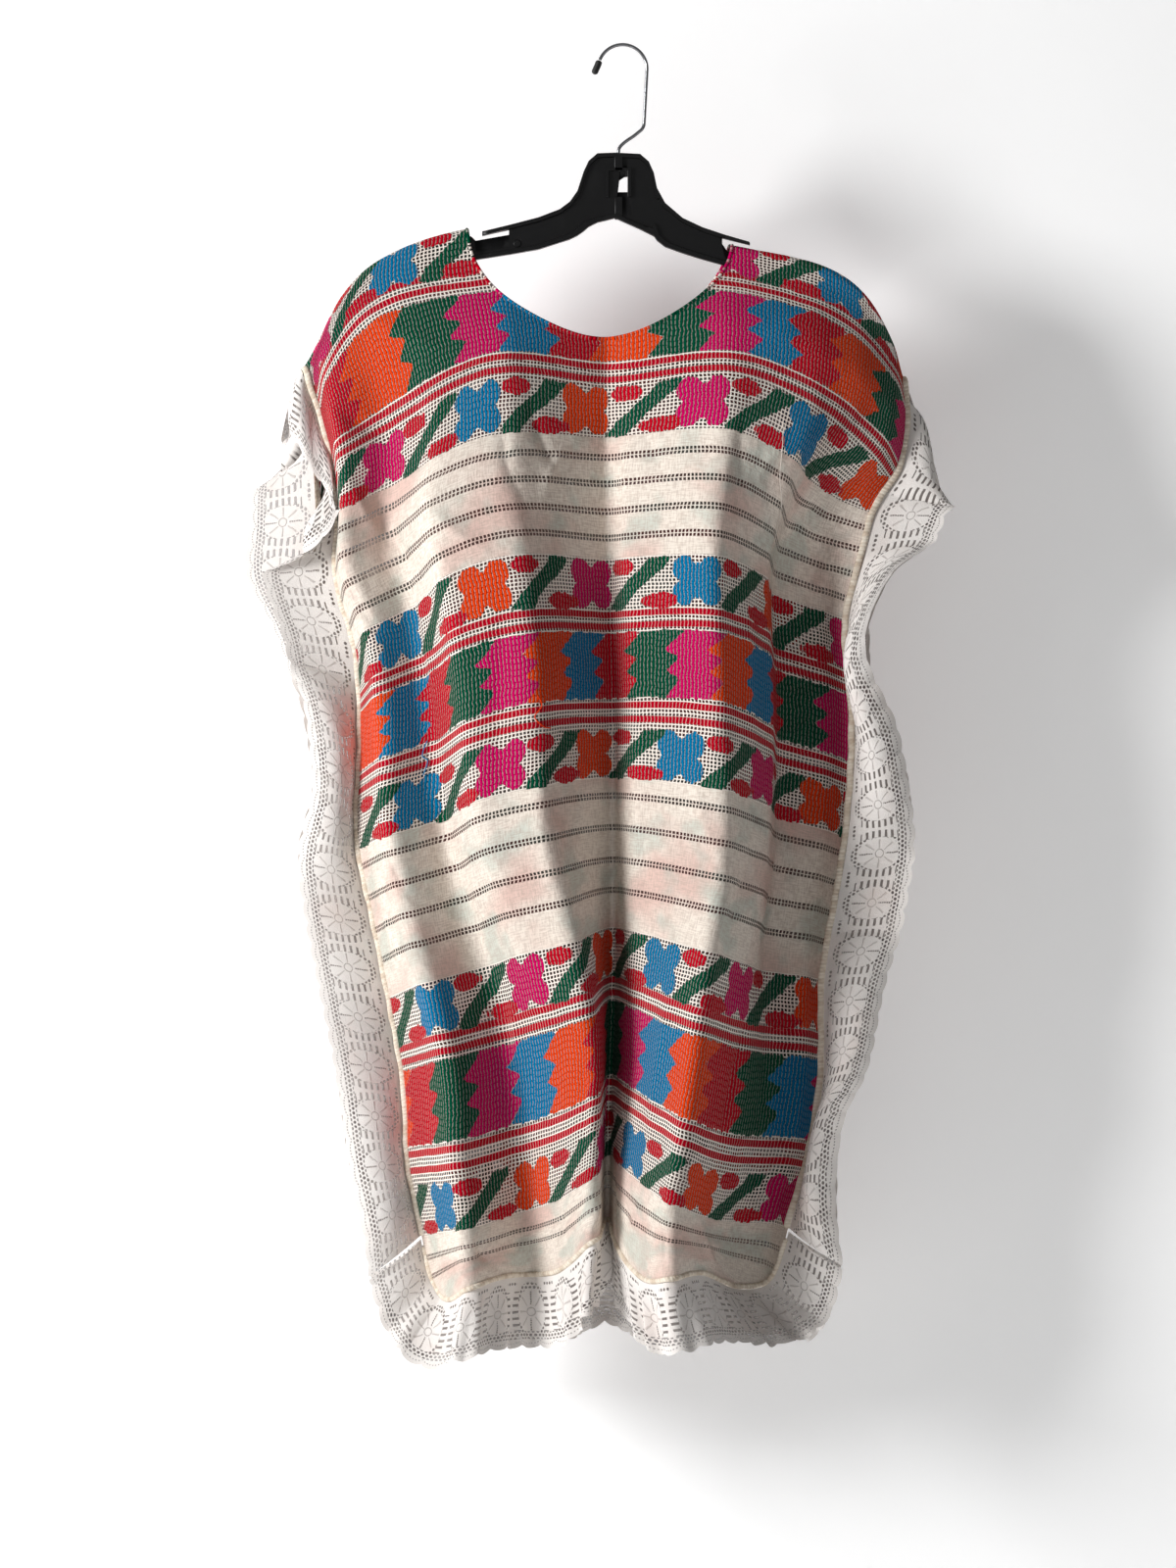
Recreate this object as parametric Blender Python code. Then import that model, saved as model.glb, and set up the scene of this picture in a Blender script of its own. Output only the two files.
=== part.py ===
"""Huipil blouse on a top hanger: cloth panels, lace edging, hanger body and wire hook.

Metres, +Z up.  The garment's front faces -Y, and +X is the viewer's right.
The origin is the inside top of the wire hook, where a rail holds the hanger.
All sizes below are millimetres; MM turns them into metres where a mesh is made.
"""
import math
from collections import namedtuple

import bmesh
import bpy
import numpy as np

MM = 0.001

# ---- the cloth as it is cut: one length folded at the shoulders ----
CLOTH_HALF_WIDTH = 295.0     # from the centre crease to a side edge
CLOTH_LENGTH = 847.0         # from the shoulder fold to the hem, each side
CORNER_RADIUS = 90.0         # rounded bottom corners
NECK_CENTRE = -6.0           # the scoop sits a little to the left of the crease
NECK_HALF_WIDTH = 106.0
NECK_DEPTH = 91.0
PANEL_WALL = 1.3
LACE_WALL = 1.0
SEAM_GAP = 0.4               # between a panel and what is sewn to it
FOLD_ROWS = (0, 4, 8, 12.5, 22, 40)   # rows of the panel's grid where it turns over the arm
FRONT_ROWS = 16              # rows below those
BACK_ROWS = 12
PANEL_PARTS = ("shoulder", "chest", "waist", "skirt")   # solids, so that collision follows the folds
SIDE_COLUMNS = 10            # columns of the grid between the neck and a side edge
NECK_TURNS = (5, 10, 17, 28, 42, 58, 74, 90)   # degrees round half the scoop, a column at each
LACE_TRIM = 1.5              # the lace's pieces stop short of each other by this much
END_TRIM = 0.05              # the same for the hem's lace, as a share of its last step
CORNER_SPREAD = 0.7          # how far the hem's lace starts sideways, for each step down, at a corner
NECK_HOLD = 43.5             # above this the grid's columns follow the neck exactly
NECK_FADE = 290.0            # below this they no longer follow it at all
CORNER_FADE = 560.0          # below this its rows follow the rounded corners

# ---- how the cloth lies over the hanger ----
FOLD_LEVEL = -147.5          # height of the shoulder fold beside the neck
FOLD_RADIUS = 8.0            # the cloth turns over the arm on this radius

# ---- the hanger ----
HOOK_WIRE = 2.8
HOOK_RADIUS = 19.5           # to the middle of the wire
HANGER_THICKNESS = 9.0
HOOK_TIP_LENGTH = 12.0
HOOK_TIP_WIDTH = 5.4
CROWN_TURN = (158, -6)       # degrees, from the open side over the top to the shank
BEND_TURN = (0, -52)
BEND_RADIUS = 8.0            # where the shank turns in towards the neck block

# Side edges and centre crease of the front, by distance down from the fold.
Outline = namedtuple("Outline", "down left crease right")
OUTLINE = [
    Outline(0, -256, -12, 224),
    Outline(47, -243, -12, 227),
    Outline(110, -231, -12, 221),
    Outline(160, -227, -12, 203),
    Outline(210, -228, -12, 192),
    Outline(265, -214, -11, 179),
    Outline(345, -210, -9, 184),
    Outline(435, -212, -8, 179),
    Outline(500, -200, -8, 170),
    Outline(565, -188, -8, 160),
    Outline(645, -175, -9, 158),
    Outline(700, -172, -11, 148),
    Outline(750, -161, -12, 133),
    Outline(847, -150, -13, 121),
]

# How far each weft line hangs below its middle, at seven places across the front.
Weft = namedtuple("Weft", "down left_edge left_step left_front crease right_front right_step right_edge")
WEFT_PLACES = (-295, -190, -110, 0, 110, 190, 295)
FRONT_WEFT = [
    Weft(0, 111, 25, -2.5, 0, 13, 34, 120),
    Weft(47, 101, 19, 1, 0, 3, 28, 101),
    Weft(119, 78, 28, -4, 0, -5, 25, 80),
    Weft(169, 72, 31, 1, 0, -2, 26, 61),
    Weft(270, 71, 30, 1, 0, 0, 19, 48),
    Weft(352, 61, 30, 6, 0, 2, 23, 51),
    Weft(439, 57, 33, 10, -1, 8, 24, 47),
    Weft(572, 47, 26, 9, -10, 4, 20, 33),
    Weft(659, 46, 31, 15, -12, 10, 29, 40),
    Weft(754, 50, 38, 21, -14, 9, 32, 44),
    Weft(847, 36, -8, -14, -55, -12, -16, 30),
]

# Fold lines of the front, as distances across the cloth from the centre crease.
Folds = namedtuple("Folds", "down outer_left valley_left step_left front_left "
                            "crease rise_right front_right turn_right step_right outer_right")
FRONT_FOLDS = [
    Folds(0, -262, -222, -170, -90, 0, 25, 95, 170, 215, 262),
    Folds(160, -260, -215, -160, -90, 0, 25, 98, 175, 216, 260),
    Folds(345, -248, -207, -152, -91, 0, 26, 102, 180, 218, 257),
    Folds(500, -230, -180, -130, -78, 0, 34, 120, 188, 226, 262),
    Folds(655, -215, -155, -105, -62, 0, 42, 138, 200, 236, 264),
    Folds(847, -205, -145, -95, -45, 0, 50, 150, 205, 240, 266),
]

# The angle of each face between those folds, in plan: plus comes forward to the right.
Faces = namedtuple("Faces", "down edge_left outer_left step_left front_left inner_left "
                            "inner_right front_right turn_right step_right outer_right edge_right")
FRONT_FACES = [
    Faces(0, 30, 0, 0, 0, 0, 0, 0, 0, 0, -10, -40),
    Faces(60, 45, -6, 8, 4, -4, 4, 3, -6, -15, -25, -55),
    Faces(110, 55, -8, 14, 5, -8, 8, 4, -12, -25, -32, -50),
    Faces(160, 58, -12, 22, 5, -12, 14, 6, -20, -38, -32, -20),
    Faces(265, 56, -24, 48, 5, -30, 36, 16, -36, -66, -16, 34),
    Faces(345, 56, -28, 52, 6, -40, 47, 22, -44, -77, -12, 42),
    Faces(500, 56, -30, 50, 12, -46, 50, 26, -46, -66, -16, 46),
    Faces(655, 55, -35, 45, 40, -72, 62, 48, -44, -46, -24, 50),
    Faces(847, 52, -34, 44, 42, -78, 66, 50, -44, -46, -26, 48),
]

BACK_WEFT = [
    Weft(0, 111, 25, -2.5, 0, 13, 34, 120),
    Weft(47, 101, 19, 1, 0, 3, 28, 101),
    Weft(119, 78, 28, -4, 0, -5, 25, 80),
    Weft(169, 72, 31, 1, 0, -2, 26, 61),
    Weft(345, 61, 24, 4, 0, 4, 22, 51),
    Weft(565, 47, 20, 4, -2, 4, 16, 33),
    Weft(750, 50, 26, 8, -2, 6, 22, 44),
    Weft(847, 36, -4, -12, -18, -12, -8, 30),
]
BACK_FOLDS = [
    Folds(0, -255, -205, -150, -70, 0, 60, 120, 165, 210, 255),
    Folds(345, -250, -205, -150, -75, 0, 55, 115, 160, 205, 250),
    Folds(847, -240, -190, -140, -80, 0, 50, 105, 150, 200, 246),
]
BACK_FACES = [
    Faces(0, 20, 0, 0, 0, 0, 0, 0, 0, 0, 0, -20),
    Faces(110, 50, 4, 12, -8, 6, -6, 8, -10, 6, -12, -50),
    Faces(265, 70, -12, 34, -30, 30, -30, 30, -34, 22, -20, -70),
    Faces(345, 72, -20, 42, -38, 38, -38, 40, -42, 32, -26, -72),
    Faces(655, 74, -26, 50, -46, 46, -46, 50, -50, 42, -34, -74),
    Faces(847, 74, -28, 52, -48, 48, -48, 52, -52, 44, -36, -74),
]

# Depth in front of the hanger's plane at the side edges and at the centre crease.
Depths = namedtuple("Depths", "down left_edge crease right_edge")
FRONT_DEPTHS = [
    Depths(0, 0, 0, 0),
    Depths(60, 2, 3, 0),
    Depths(110, 4, 8, 2),
    Depths(200, 6, 14, 6),
    Depths(310, -4.5, 14, -4.5),
    Depths(400, -5, 12, -5),
    Depths(655, -5, 6, -5),
    Depths(847, -5, 4, -5),
]
BACK_DEPTHS = [
    Depths(0, 0, 0, 0),
    Depths(60, 4, 3, 6),
    Depths(110, 8, 8, 8),
    Depths(200, 8, 20, 8),
    Depths(310, -4.5, 28, -4.5),
    Depths(400, -5, 30, -5),
    Depths(655, -5, 32, -5),
    Depths(847, -5, 32, -5),
]

# Where the outer edge of the lace reaches from the seam: outward, forward and up.
Reach = namedtuple("Reach", "down out forward up")
LACE_LEFT = [
    Reach(0, 8, 6, -56),
    Reach(40, 0, 14, -56),
    Reach(80, -8, 22, -52),
    Reach(130, 10, 28, -48),
    Reach(170, 46, 12, -32),
    Reach(205, 62, 8, -4),
    Reach(245, 62, 8, 6),
    Reach(300, 54, 12, 14),
    Reach(345, 44, 16, 22),
    Reach(400, 34, 20, 18),
    Reach(470, 52, 12, 10),
    Reach(560, 55, 10, 8),
    Reach(650, 52, 14, 6),
    Reach(700, 44, 18, -4),
    Reach(757, 42, 18, -32),
]
LACE_RIGHT = [
    Reach(0, 8, -12, -56),
    Reach(50, 16, -12, -48),
    Reach(100, 34, -6, -36),
    Reach(150, 58, 8, -8),
    Reach(210, 56, 10, 10),
    Reach(265, 34, 20, 36),
    Reach(320, 14, 26, 32),
    Reach(370, 34, 20, 20),
    Reach(430, 52, 12, 8),
    Reach(520, 58, 8, 2),
    Reach(590, 48, 14, 6),
    Reach(650, 36, 20, 14),
    Reach(695, 22, 24, 22),
    Reach(757, 44, 18, -30),
]

# The same for the gathered lace of the hem, by distance across.
Gather = namedtuple("Gather", "across right forward up")
LACE_HEM = [
    Gather(-295, -42, 18, -32),
    Gather(-270, -30, 18, -46),
    Gather(-225, -12, 12, -60),
    Gather(-180, -2, 18, -60),
    Gather(-130, 2, 8, -62),
    Gather(-80, 4, 14, -62),
    Gather(-40, -2, 8, -64),
    Gather(0, 0, 0, -66),
    Gather(45, 6, 6, -66),
    Gather(90, 8, 14, -64),
    Gather(140, 12, 8, -62),
    Gather(190, 22, 16, -58),
    Gather(235, 34, 12, -50),
    Gather(270, 40, 18, -40),
    Gather(295, 44, 18, -30),
]

# How a lace edging leans off its panel: a fixed part, its share of the table's, and its least reach.
Lean = namedtuple("Lean", "spread share least_out")
FRONT_LEAN = Lean(0, 1, -8)
BACK_LEAN = Lean(14, 0.3, 18)

# Upper edge and underside of the hanger, from the left tip to the right tip.
HangerEdge = namedtuple("HangerEdge", "along top underside")
HANGER_EDGE = [
    HangerEdge(-224, -205, -212),
    HangerEdge(-218, -198, -215),
    HangerEdge(-198, -179, -201),
    HangerEdge(-178, -167.5, -188),
    HangerEdge(-151, -157, -177.5),
    HangerEdge(-124, -152.5, -171.5),
    HangerEdge(-121, -151.5, -171),
    HangerEdge(-112, -147.8, -169.5),
    HangerEdge(-90, -142.5, -166),
    HangerEdge(-67, -136.5, -162),
    HangerEdge(-50, -130, -156.5),
    HangerEdge(-42, -124, -154),
    HangerEdge(-36, -115.5, -151),
    HangerEdge(-31, -100, -147.5),
    HangerEdge(-27, -91.5, -144),
    HangerEdge(-20, -85.5, -140.5),
    HangerEdge(-6, -85, -137),
    HangerEdge(14, -86, -146),
    HangerEdge(21, -92, -149.5),
    HangerEdge(25, -101, -151.5),
    HangerEdge(27.5, -113, -155),
    HangerEdge(34, -125, -160),
    HangerEdge(48, -137, -165),
    HangerEdge(64, -144.5, -170),
    HangerEdge(82, -150.5, -175),
    HangerEdge(101, -156, -180.5),
    HangerEdge(107, -168, -182),
    HangerEdge(128, -171.5, -187.5),
    HangerEdge(149, -176.5, -195),
    HangerEdge(168, -185.5, -206),
    HangerEdge(187, -201.5, -225),
    HangerEdge(199, -220, -239),
    HangerEdge(205, -234, -240),
]

# Where the hook's straight shank ends, and how it swings back over the neck block.
Corner = namedtuple("Corner", "along height")
SHANK_FOOT = Corner(17.2, -61.0)
SWAN_NECK = [Corner(9.0, -71.4), Corner(2.0, -76.2), Corner(-2.2, -80.4), Corner(-3.2, -84.4)]

# Holes right through the hanger, as corners (along, height): the window and the strap notches.
WINDOW = [Corner(-10.5, -100), Corner(4, -100), Corner(4, -117.5), Corner(-3.5, -117.5),
          Corner(-3.5, -110), Corner(-10.5, -110)]
NOTCH_LEFT = [Corner(-90.5, -146.6), Corner(-90.5, -150.3), Corner(-117, -155), Corner(-121, -151.5),
              Corner(-121, -138), Corner(-111.8, -138), Corner(-111.8, -151.2)]
NOTCH_RIGHT = [Corner(79.5, -153), Corner(79.5, -157.6), Corner(84, -164), Corner(105, -168.2),
               Corner(107, -160), Corner(107, -140), Corner(101.5, -140), Corner(101.5, -158.4)]

Material = namedtuple("Material", "name colour roughness metallic")
BROCADE = Material("brocade_cloth", (0.74, 0.52, 0.46, 1.0), 0.85, 0.0)
LACE = Material("lace", (0.86, 0.82, 0.78, 1.0), 0.8, 0.0)
PLASTIC = Material("hanger_plastic", (0.012, 0.012, 0.013, 1.0), 0.38, 0.0)
METAL = Material("hook_metal", (0.72, 0.73, 0.75, 1.0), 0.22, 1.0)
TIP = Material("hook_tip", (0.01, 0.01, 0.01, 1.0), 0.5, 0.0)


def clear_scene():
    for found in list(bpy.data.objects):
        bpy.data.objects.remove(found, do_unlink=True)


def make_material(finish):
    material = bpy.data.materials.new(finish.name)
    material.use_nodes = True
    surface = material.node_tree.nodes["Principled BSDF"]
    surface.inputs["Base Color"].default_value = finish.colour
    surface.inputs["Roughness"].default_value = finish.roughness
    surface.inputs["Metallic"].default_value = finish.metallic
    material.diffuse_color = finish.colour
    return material


def smooth_curve(places, values, wanted):
    """Cubic through (place, value) pairs, with slopes taken from the neighbours."""
    places = np.asarray(places, float)
    values = np.asarray(values, float)
    slopes = np.gradient(values, places)
    wanted = np.clip(wanted, places[0], places[-1])
    left = np.clip(np.searchsorted(places, wanted, side="right") - 1, 0, len(places) - 2)
    span = places[left + 1] - places[left]
    part = (wanted - places[left]) / span
    return ((1 + 2 * part) * (1 - part) ** 2 * values[left]
            + part * (1 - part) ** 2 * span * slopes[left]
            + part ** 2 * (3 - 2 * part) * values[left + 1]
            + part ** 2 * (part - 1) * span * slopes[left + 1])


def row_at(table, down):
    """One row of a section table, read between its rows; the first column is dropped."""
    columns = np.array(table, float).T
    return np.array([smooth_curve(columns[0], column, down) for column in columns[1:]])


def ease(value, start, end):
    part = min(max((value - start) / (end - start), 0.0), 1.0)
    return part * part * (3 - 2 * part)


def fold_drop(down):
    """Height lost and depth gained where the cloth turns over the hanger's arm."""
    turn = FOLD_RADIUS * math.pi / 2
    if down < turn:
        angle = down / FOLD_RADIUS
        return FOLD_RADIUS * (1 - math.cos(angle)), FOLD_RADIUS * math.sin(angle)
    return FOLD_RADIUS + down - turn, FOLD_RADIUS


class Cloth:
    """One hanging panel, as a map from flat cloth (across, down) to its place in space."""

    FOLD_SOFTNESS = 9.0
    CREASE_SOFTNESS = 2.0
    STEP_ACROSS = 5.0
    STEP_DOWN = 8.0
    STEEPEST = 84.0

    def __init__(self, weft, folds, faces, depths, front):
        self.side = -1.0 if front else 1.0
        self.across = np.arange(-CLOTH_HALF_WIDTH, CLOTH_HALF_WIDTH + 0.1, self.STEP_ACROSS)
        self.down = np.append(np.arange(0, CLOTH_LENGTH, self.STEP_DOWN), CLOTH_LENGTH)
        self.places = np.array([self.section(weft, folds, faces, depths, d) for d in self.down])

    def face_angles(self, folds, faces):
        """Angle of the cloth at each step across, turning smoothly at each fold."""
        spots, angles = [-CLOTH_HALF_WIDTH], [faces[0]]
        for number, fold in enumerate(folds):
            soft = self.CREASE_SOFTNESS if fold == 0 else self.FOLD_SOFTNESS
            spots += [fold - soft, fold + soft]
            angles += [faces[number], faces[number + 1]]
        spots.append(CLOTH_HALF_WIDTH)
        angles.append(faces[-1])
        return np.interp(self.across, spots, angles)

    def half_section(self, angles, slope, width):
        """Across and depth of one half, with its folds as deep as its width needs."""
        step = self.STEP_ACROSS * np.sqrt(np.clip(1 - slope ** 2, 0.05, 1))

        def lay(scale):
            turned = np.radians(np.clip(angles * scale, -self.STEEPEST, self.STEEPEST))
            over = np.append(0, np.cumsum(step * np.cos(turned)))
            return over, np.append(0, np.cumsum(step * np.sin(turned)))

        low, high = 0.0, 1.8
        for _ in range(24):
            middle = (low + high) / 2
            if lay(middle)[0][-1] > width:
                low = middle
            else:
                high = middle
        over, forward = lay(low)
        return over * width / over[-1], forward

    def section(self, weft, folds, faces, depths, down):
        left, crease, right = row_at(OUTLINE, down)
        hang = smooth_curve(WEFT_PLACES, row_at(weft, down), self.across)
        angles = self.face_angles(row_at(folds, down), row_at(faces, down))
        angle_between = (angles[1:] + angles[:-1]) / 2
        slope = np.diff(hang) / self.STEP_ACROSS
        middle = len(self.across) // 2
        edge_left, depth_crease, edge_right = row_at(depths, down)

        over_l, forward_l = self.half_section(-angle_between[:middle][::-1], slope[:middle][::-1],
                                              crease - left)
        over_r, forward_r = self.half_section(angle_between[middle:], slope[middle:], right - crease)
        share = np.linspace(0, 1, middle + 1)
        forward_l = depth_crease + forward_l + (edge_left - depth_crease - forward_l[-1]) * share
        forward_r = depth_crease + forward_r + (edge_right - depth_crease - forward_r[-1]) * share

        x = np.concatenate([crease - over_l[::-1], crease + over_r[1:]])
        forward = np.concatenate([forward_l[::-1], forward_r[1:]])
        lost, turned_out = fold_drop(down)
        y = self.side * (turned_out + forward * ease(down, 8, 90))
        z = FOLD_LEVEL - lost - hang
        return np.stack([x, y, z], axis=1)

    def point(self, across, down):
        column = np.clip((across + CLOTH_HALF_WIDTH) / self.STEP_ACROSS, 0, len(self.across) - 1.001)
        row = np.interp(down, self.down, np.arange(len(self.down)))
        row = min(row, len(self.down) - 1.001)
        c, r = int(column), int(row)
        fc, fr = column - c, row - r
        upper = self.places[r, c] * (1 - fc) + self.places[r, c + 1] * fc
        lower = self.places[r + 1, c] * (1 - fc) + self.places[r + 1, c + 1] * fc
        return upper * (1 - fr) + lower * fr


def neck_edge(across):
    """Distance down from the fold to the cloth's upper edge: a round scoop at the neck."""
    part = min(abs(across - NECK_CENTRE) / NECK_HALF_WIDTH, 1.0)
    return NECK_DEPTH * math.sqrt(1 - part * part)


def hem_edge(across):
    """Distance down to the hem: straight, with rounded corners."""
    past = abs(across) - (CLOTH_HALF_WIDTH - CORNER_RADIUS)
    if past <= 0:
        return CLOTH_LENGTH
    return CLOTH_LENGTH - CORNER_RADIUS + math.sqrt(max(CORNER_RADIUS ** 2 - past ** 2, 0.0))


def wall_mesh(name, grid, thickness, material, upright=None):
    """A closed wall: a grid of points, moved half the thickness to each side.

    Columns marked upright end in a flat rim in the XZ plane, where two walls meet.
    """
    points = np.asarray(grid)
    along = np.gradient(points, axis=1)
    downward = np.gradient(points, axis=0)
    normals = np.cross(along, downward)
    if upright is not None:
        normals[0, upright, 1] = 0
    normals /= np.linalg.norm(normals, axis=2, keepdims=True)
    rows, columns = points.shape[:2]
    sides = [points + normals * thickness / 2, points - normals * thickness / 2]
    mesh = bmesh.new()
    upper, lower = [[[mesh.verts.new(side[r, c] * MM) for c in range(columns)] for r in range(rows)]
                    for side in sides]
    for r in range(rows - 1):
        for c in range(columns - 1):
            mesh.faces.new([upper[r][c], upper[r][c + 1], upper[r + 1][c + 1], upper[r + 1][c]])
            mesh.faces.new([lower[r][c], lower[r + 1][c], lower[r + 1][c + 1], lower[r][c + 1]])
    rim = [(0, c) for c in range(columns)] + [(r, columns - 1) for r in range(1, rows)]
    rim += [(rows - 1, c) for c in range(columns - 2, -1, -1)] + [(r, 0) for r in range(rows - 2, 0, -1)]
    for (r, c), (r2, c2) in zip(rim, rim[1:] + rim[:1]):
        mesh.faces.new([upper[r2][c2], upper[r][c], lower[r][c], lower[r2][c2]])
    bmesh.ops.recalc_face_normals(mesh, faces=mesh.faces)
    return finish_mesh(name, mesh, material)


def finish_mesh(name, mesh, material, sharp=30):
    data = bpy.data.meshes.new(name)
    mesh.to_mesh(data)
    mesh.free()
    data.shade_smooth()
    data.set_sharp_from_angle(angle=math.radians(sharp))
    made = bpy.data.objects.new(name, data)
    made.data.materials.append(material)
    bpy.context.scene.collection.objects.link(made)
    return made


def panel_columns():
    """Places across the cloth: close together at the neck's steep ends."""
    turns = np.radians(list(NECK_TURNS) + [180 - turn for turn in NECK_TURNS[-2::-1]])
    neck = NECK_CENTRE - NECK_HALF_WIDTH * np.cos(turns)
    left = np.linspace(-CLOTH_HALF_WIDTH, NECK_CENTRE - NECK_HALF_WIDTH, SIDE_COLUMNS + 1)
    right = np.linspace(NECK_CENTRE + NECK_HALF_WIDTH, CLOTH_HALF_WIDTH, SIDE_COLUMNS + 1)
    return np.concatenate([left, neck, right])


def cloth_place(at_neck, evenly, level):
    """Where a column and a row of the panel's grid lie on the flat cloth."""
    shift = ease(level, NECK_HOLD, NECK_FADE)
    across = at_neck * (1 - shift) + evenly * shift
    down = level + neck_edge(at_neck) * max(1 - level / NECK_FADE, 0)
    rounding = max(level - CORNER_FADE, 0) / (CLOTH_LENGTH - CORNER_FADE)
    return across, down - (CLOTH_LENGTH - hem_edge(across)) * rounding


def panel_levels(rows):
    return list(FOLD_ROWS) + list(np.linspace(FOLD_ROWS[-1], CLOTH_LENGTH, rows + 1)[1:])


def part_levels(rows):
    """The panel's levels shared out between its parts, with a gap where two parts meet."""
    levels = panel_levels(rows)
    cuts = [len(FOLD_ROWS) - 1 + rows * number // len(PANEL_PARTS) for number in range(1, len(PANEL_PARTS))]
    ends = [0, *cuts, len(levels) - 1]
    parts = [levels[first:last + 1] for first, last in zip(ends, ends[1:])]
    for before, after in zip(parts, parts[1:]):
        before[-1] -= SEAM_GAP / 2
        after[0] += SEAM_GAP / 2
    return parts


def make_panel(name, cloth, rows, material):
    """A whole panel, as parts from the shoulder fold down to the hem."""
    at_neck = panel_columns()
    evenly = np.linspace(-CLOTH_HALF_WIDTH, CLOTH_HALF_WIDTH, len(at_neck))
    on_fold = np.abs(at_neck - NECK_CENTRE) > NECK_HALF_WIDTH - 0.01
    for part, levels in zip(PANEL_PARTS, part_levels(rows)):
        grid = np.array([[cloth.point(*cloth_place(a, e, level)) for a, e in zip(at_neck, evenly)]
                         for level in levels])
        top = part == PANEL_PARTS[0]
        if top:
            grid[0, on_fold, 1] = cloth.side * SEAM_GAP / 2
        wall_mesh(f"{name}_{part}", grid, PANEL_WALL, material, upright=on_fold if top else None)


def lace_line(seam, away, reach):
    """Four points across the lace: just off the seam, and out to its scalloped edge."""
    off = away * (SEAM_GAP + (PANEL_WALL + LACE_WALL) / 2)
    return [seam + off, seam + off * 1.4 + reach * 0.3, seam + off + reach * 0.66, seam + reach]


def make_side_lace(name, cloth, rows, table, hand, lean, material):
    """Lace along a side edge, from the shoulder fold to the bottom corner."""
    edge = hand * CLOTH_HALF_WIDTH
    downs = [cloth_place(edge, edge, level)[1] for level in panel_levels(rows)]
    downs[0] += LACE_TRIM
    downs[-1] -= LACE_TRIM
    grid = []
    for down in downs:
        out, forward, up = row_at(table, down)
        reach = np.array([hand * max(out, lean.least_out),
                          cloth.side * (lean.spread + lean.share * forward), up])
        grid.append(lace_line(cloth.point(edge, down), np.array([hand, 0.0, 0.0]), reach))
    return wall_mesh(name, grid, LACE_WALL, material)


def make_hem_lace(name, cloth, table, lean, material):
    """Gathered lace along the hem, round both bottom corners."""
    places = np.linspace(-CLOTH_HALF_WIDTH, CLOTH_HALF_WIDTH, len(panel_columns()))
    grid = []
    for across in places:
        out, forward, up = row_at(table, across)
        reach = np.array([out, cloth.side * (lean.spread + lean.share * forward), up])
        round_corner = max(abs(across) - (CLOTH_HALF_WIDTH - CORNER_RADIUS), 0) / CORNER_RADIUS
        away = np.array([CORNER_SPREAD * round_corner * np.sign(across), 0, -1.0])
        grid.append(lace_line(cloth.point(across, hem_edge(across)), away, reach))
    grid[0] = [first + (second - first) * END_TRIM for first, second in zip(grid[0], grid[1])]
    grid[-1] = [last + (other - last) * END_TRIM for last, other in zip(grid[-1], grid[-2])]
    return wall_mesh(name, grid, LACE_WALL, material)


def extrude_outline(name, outline, thickness, material):
    """A plate in the XZ plane, from its outline, with the thickness along Y."""
    mesh = bmesh.new()
    front = [mesh.verts.new((x * MM, -thickness / 2 * MM, z * MM)) for x, z in outline]
    face = mesh.faces.new(front)
    moved = bmesh.ops.extrude_face_region(mesh, geom=[face])
    back = [item for item in moved["geom"] if isinstance(item, bmesh.types.BMVert)]
    bmesh.ops.translate(mesh, verts=back, vec=(0, thickness * MM, 0))
    bmesh.ops.triangulate(mesh, faces=[f for f in mesh.faces if len(f.verts) > 4])
    bmesh.ops.recalc_face_normals(mesh, faces=mesh.faces)
    return finish_mesh(name, mesh, material)


def cut(target, name, outline, material):
    """Cut a hole right through the plate."""
    cutter = extrude_outline(name, outline, HANGER_THICKNESS * 2, material)
    cutter.hide_render = True
    cutter.display_type = "WIRE"
    boolean = target.modifiers.new(name, "BOOLEAN")
    boolean.object = cutter
    boolean.operation = "DIFFERENCE"


def make_hanger(material):
    """Arms, neck block and the strap notches of the plastic hanger."""
    edge = np.array(HANGER_EDGE, float)
    top = [(row[0], row[1]) for row in edge]
    under = [(row[0], row[2]) for row in edge[::-1]]
    body = extrude_outline("hanger_body", under + top, HANGER_THICKNESS, material)
    cut(body, "cut_window", WINDOW, material)
    cut(body, "cut_notch_left", NOTCH_LEFT, material)
    cut(body, "cut_notch_right", NOTCH_RIGHT, material)
    return body


def arc(centre, radius, start, end, steps):
    turn = [math.radians(start + (end - start) * i / steps) for i in range(steps + 1)]
    return [(centre[0] + radius * math.cos(a), centre[1] + radius * math.sin(a)) for a in turn]


def tube(name, route, diameter, material, resolution=2):
    curve = bpy.data.curves.new(name, "CURVE")
    curve.dimensions = "3D"
    curve.bevel_depth = diameter / 2 * MM
    curve.bevel_resolution = resolution
    curve.use_fill_caps = True
    spline = curve.splines.new("POLY")
    spline.points.add(len(route) - 1)
    for point, (x, z) in zip(spline.points, route):
        point.co = (x * MM, 0, z * MM, 1)
    made = bpy.data.objects.new(name, curve)
    made.data.materials.append(material)
    bpy.context.scene.collection.objects.link(made)
    return made


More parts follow.
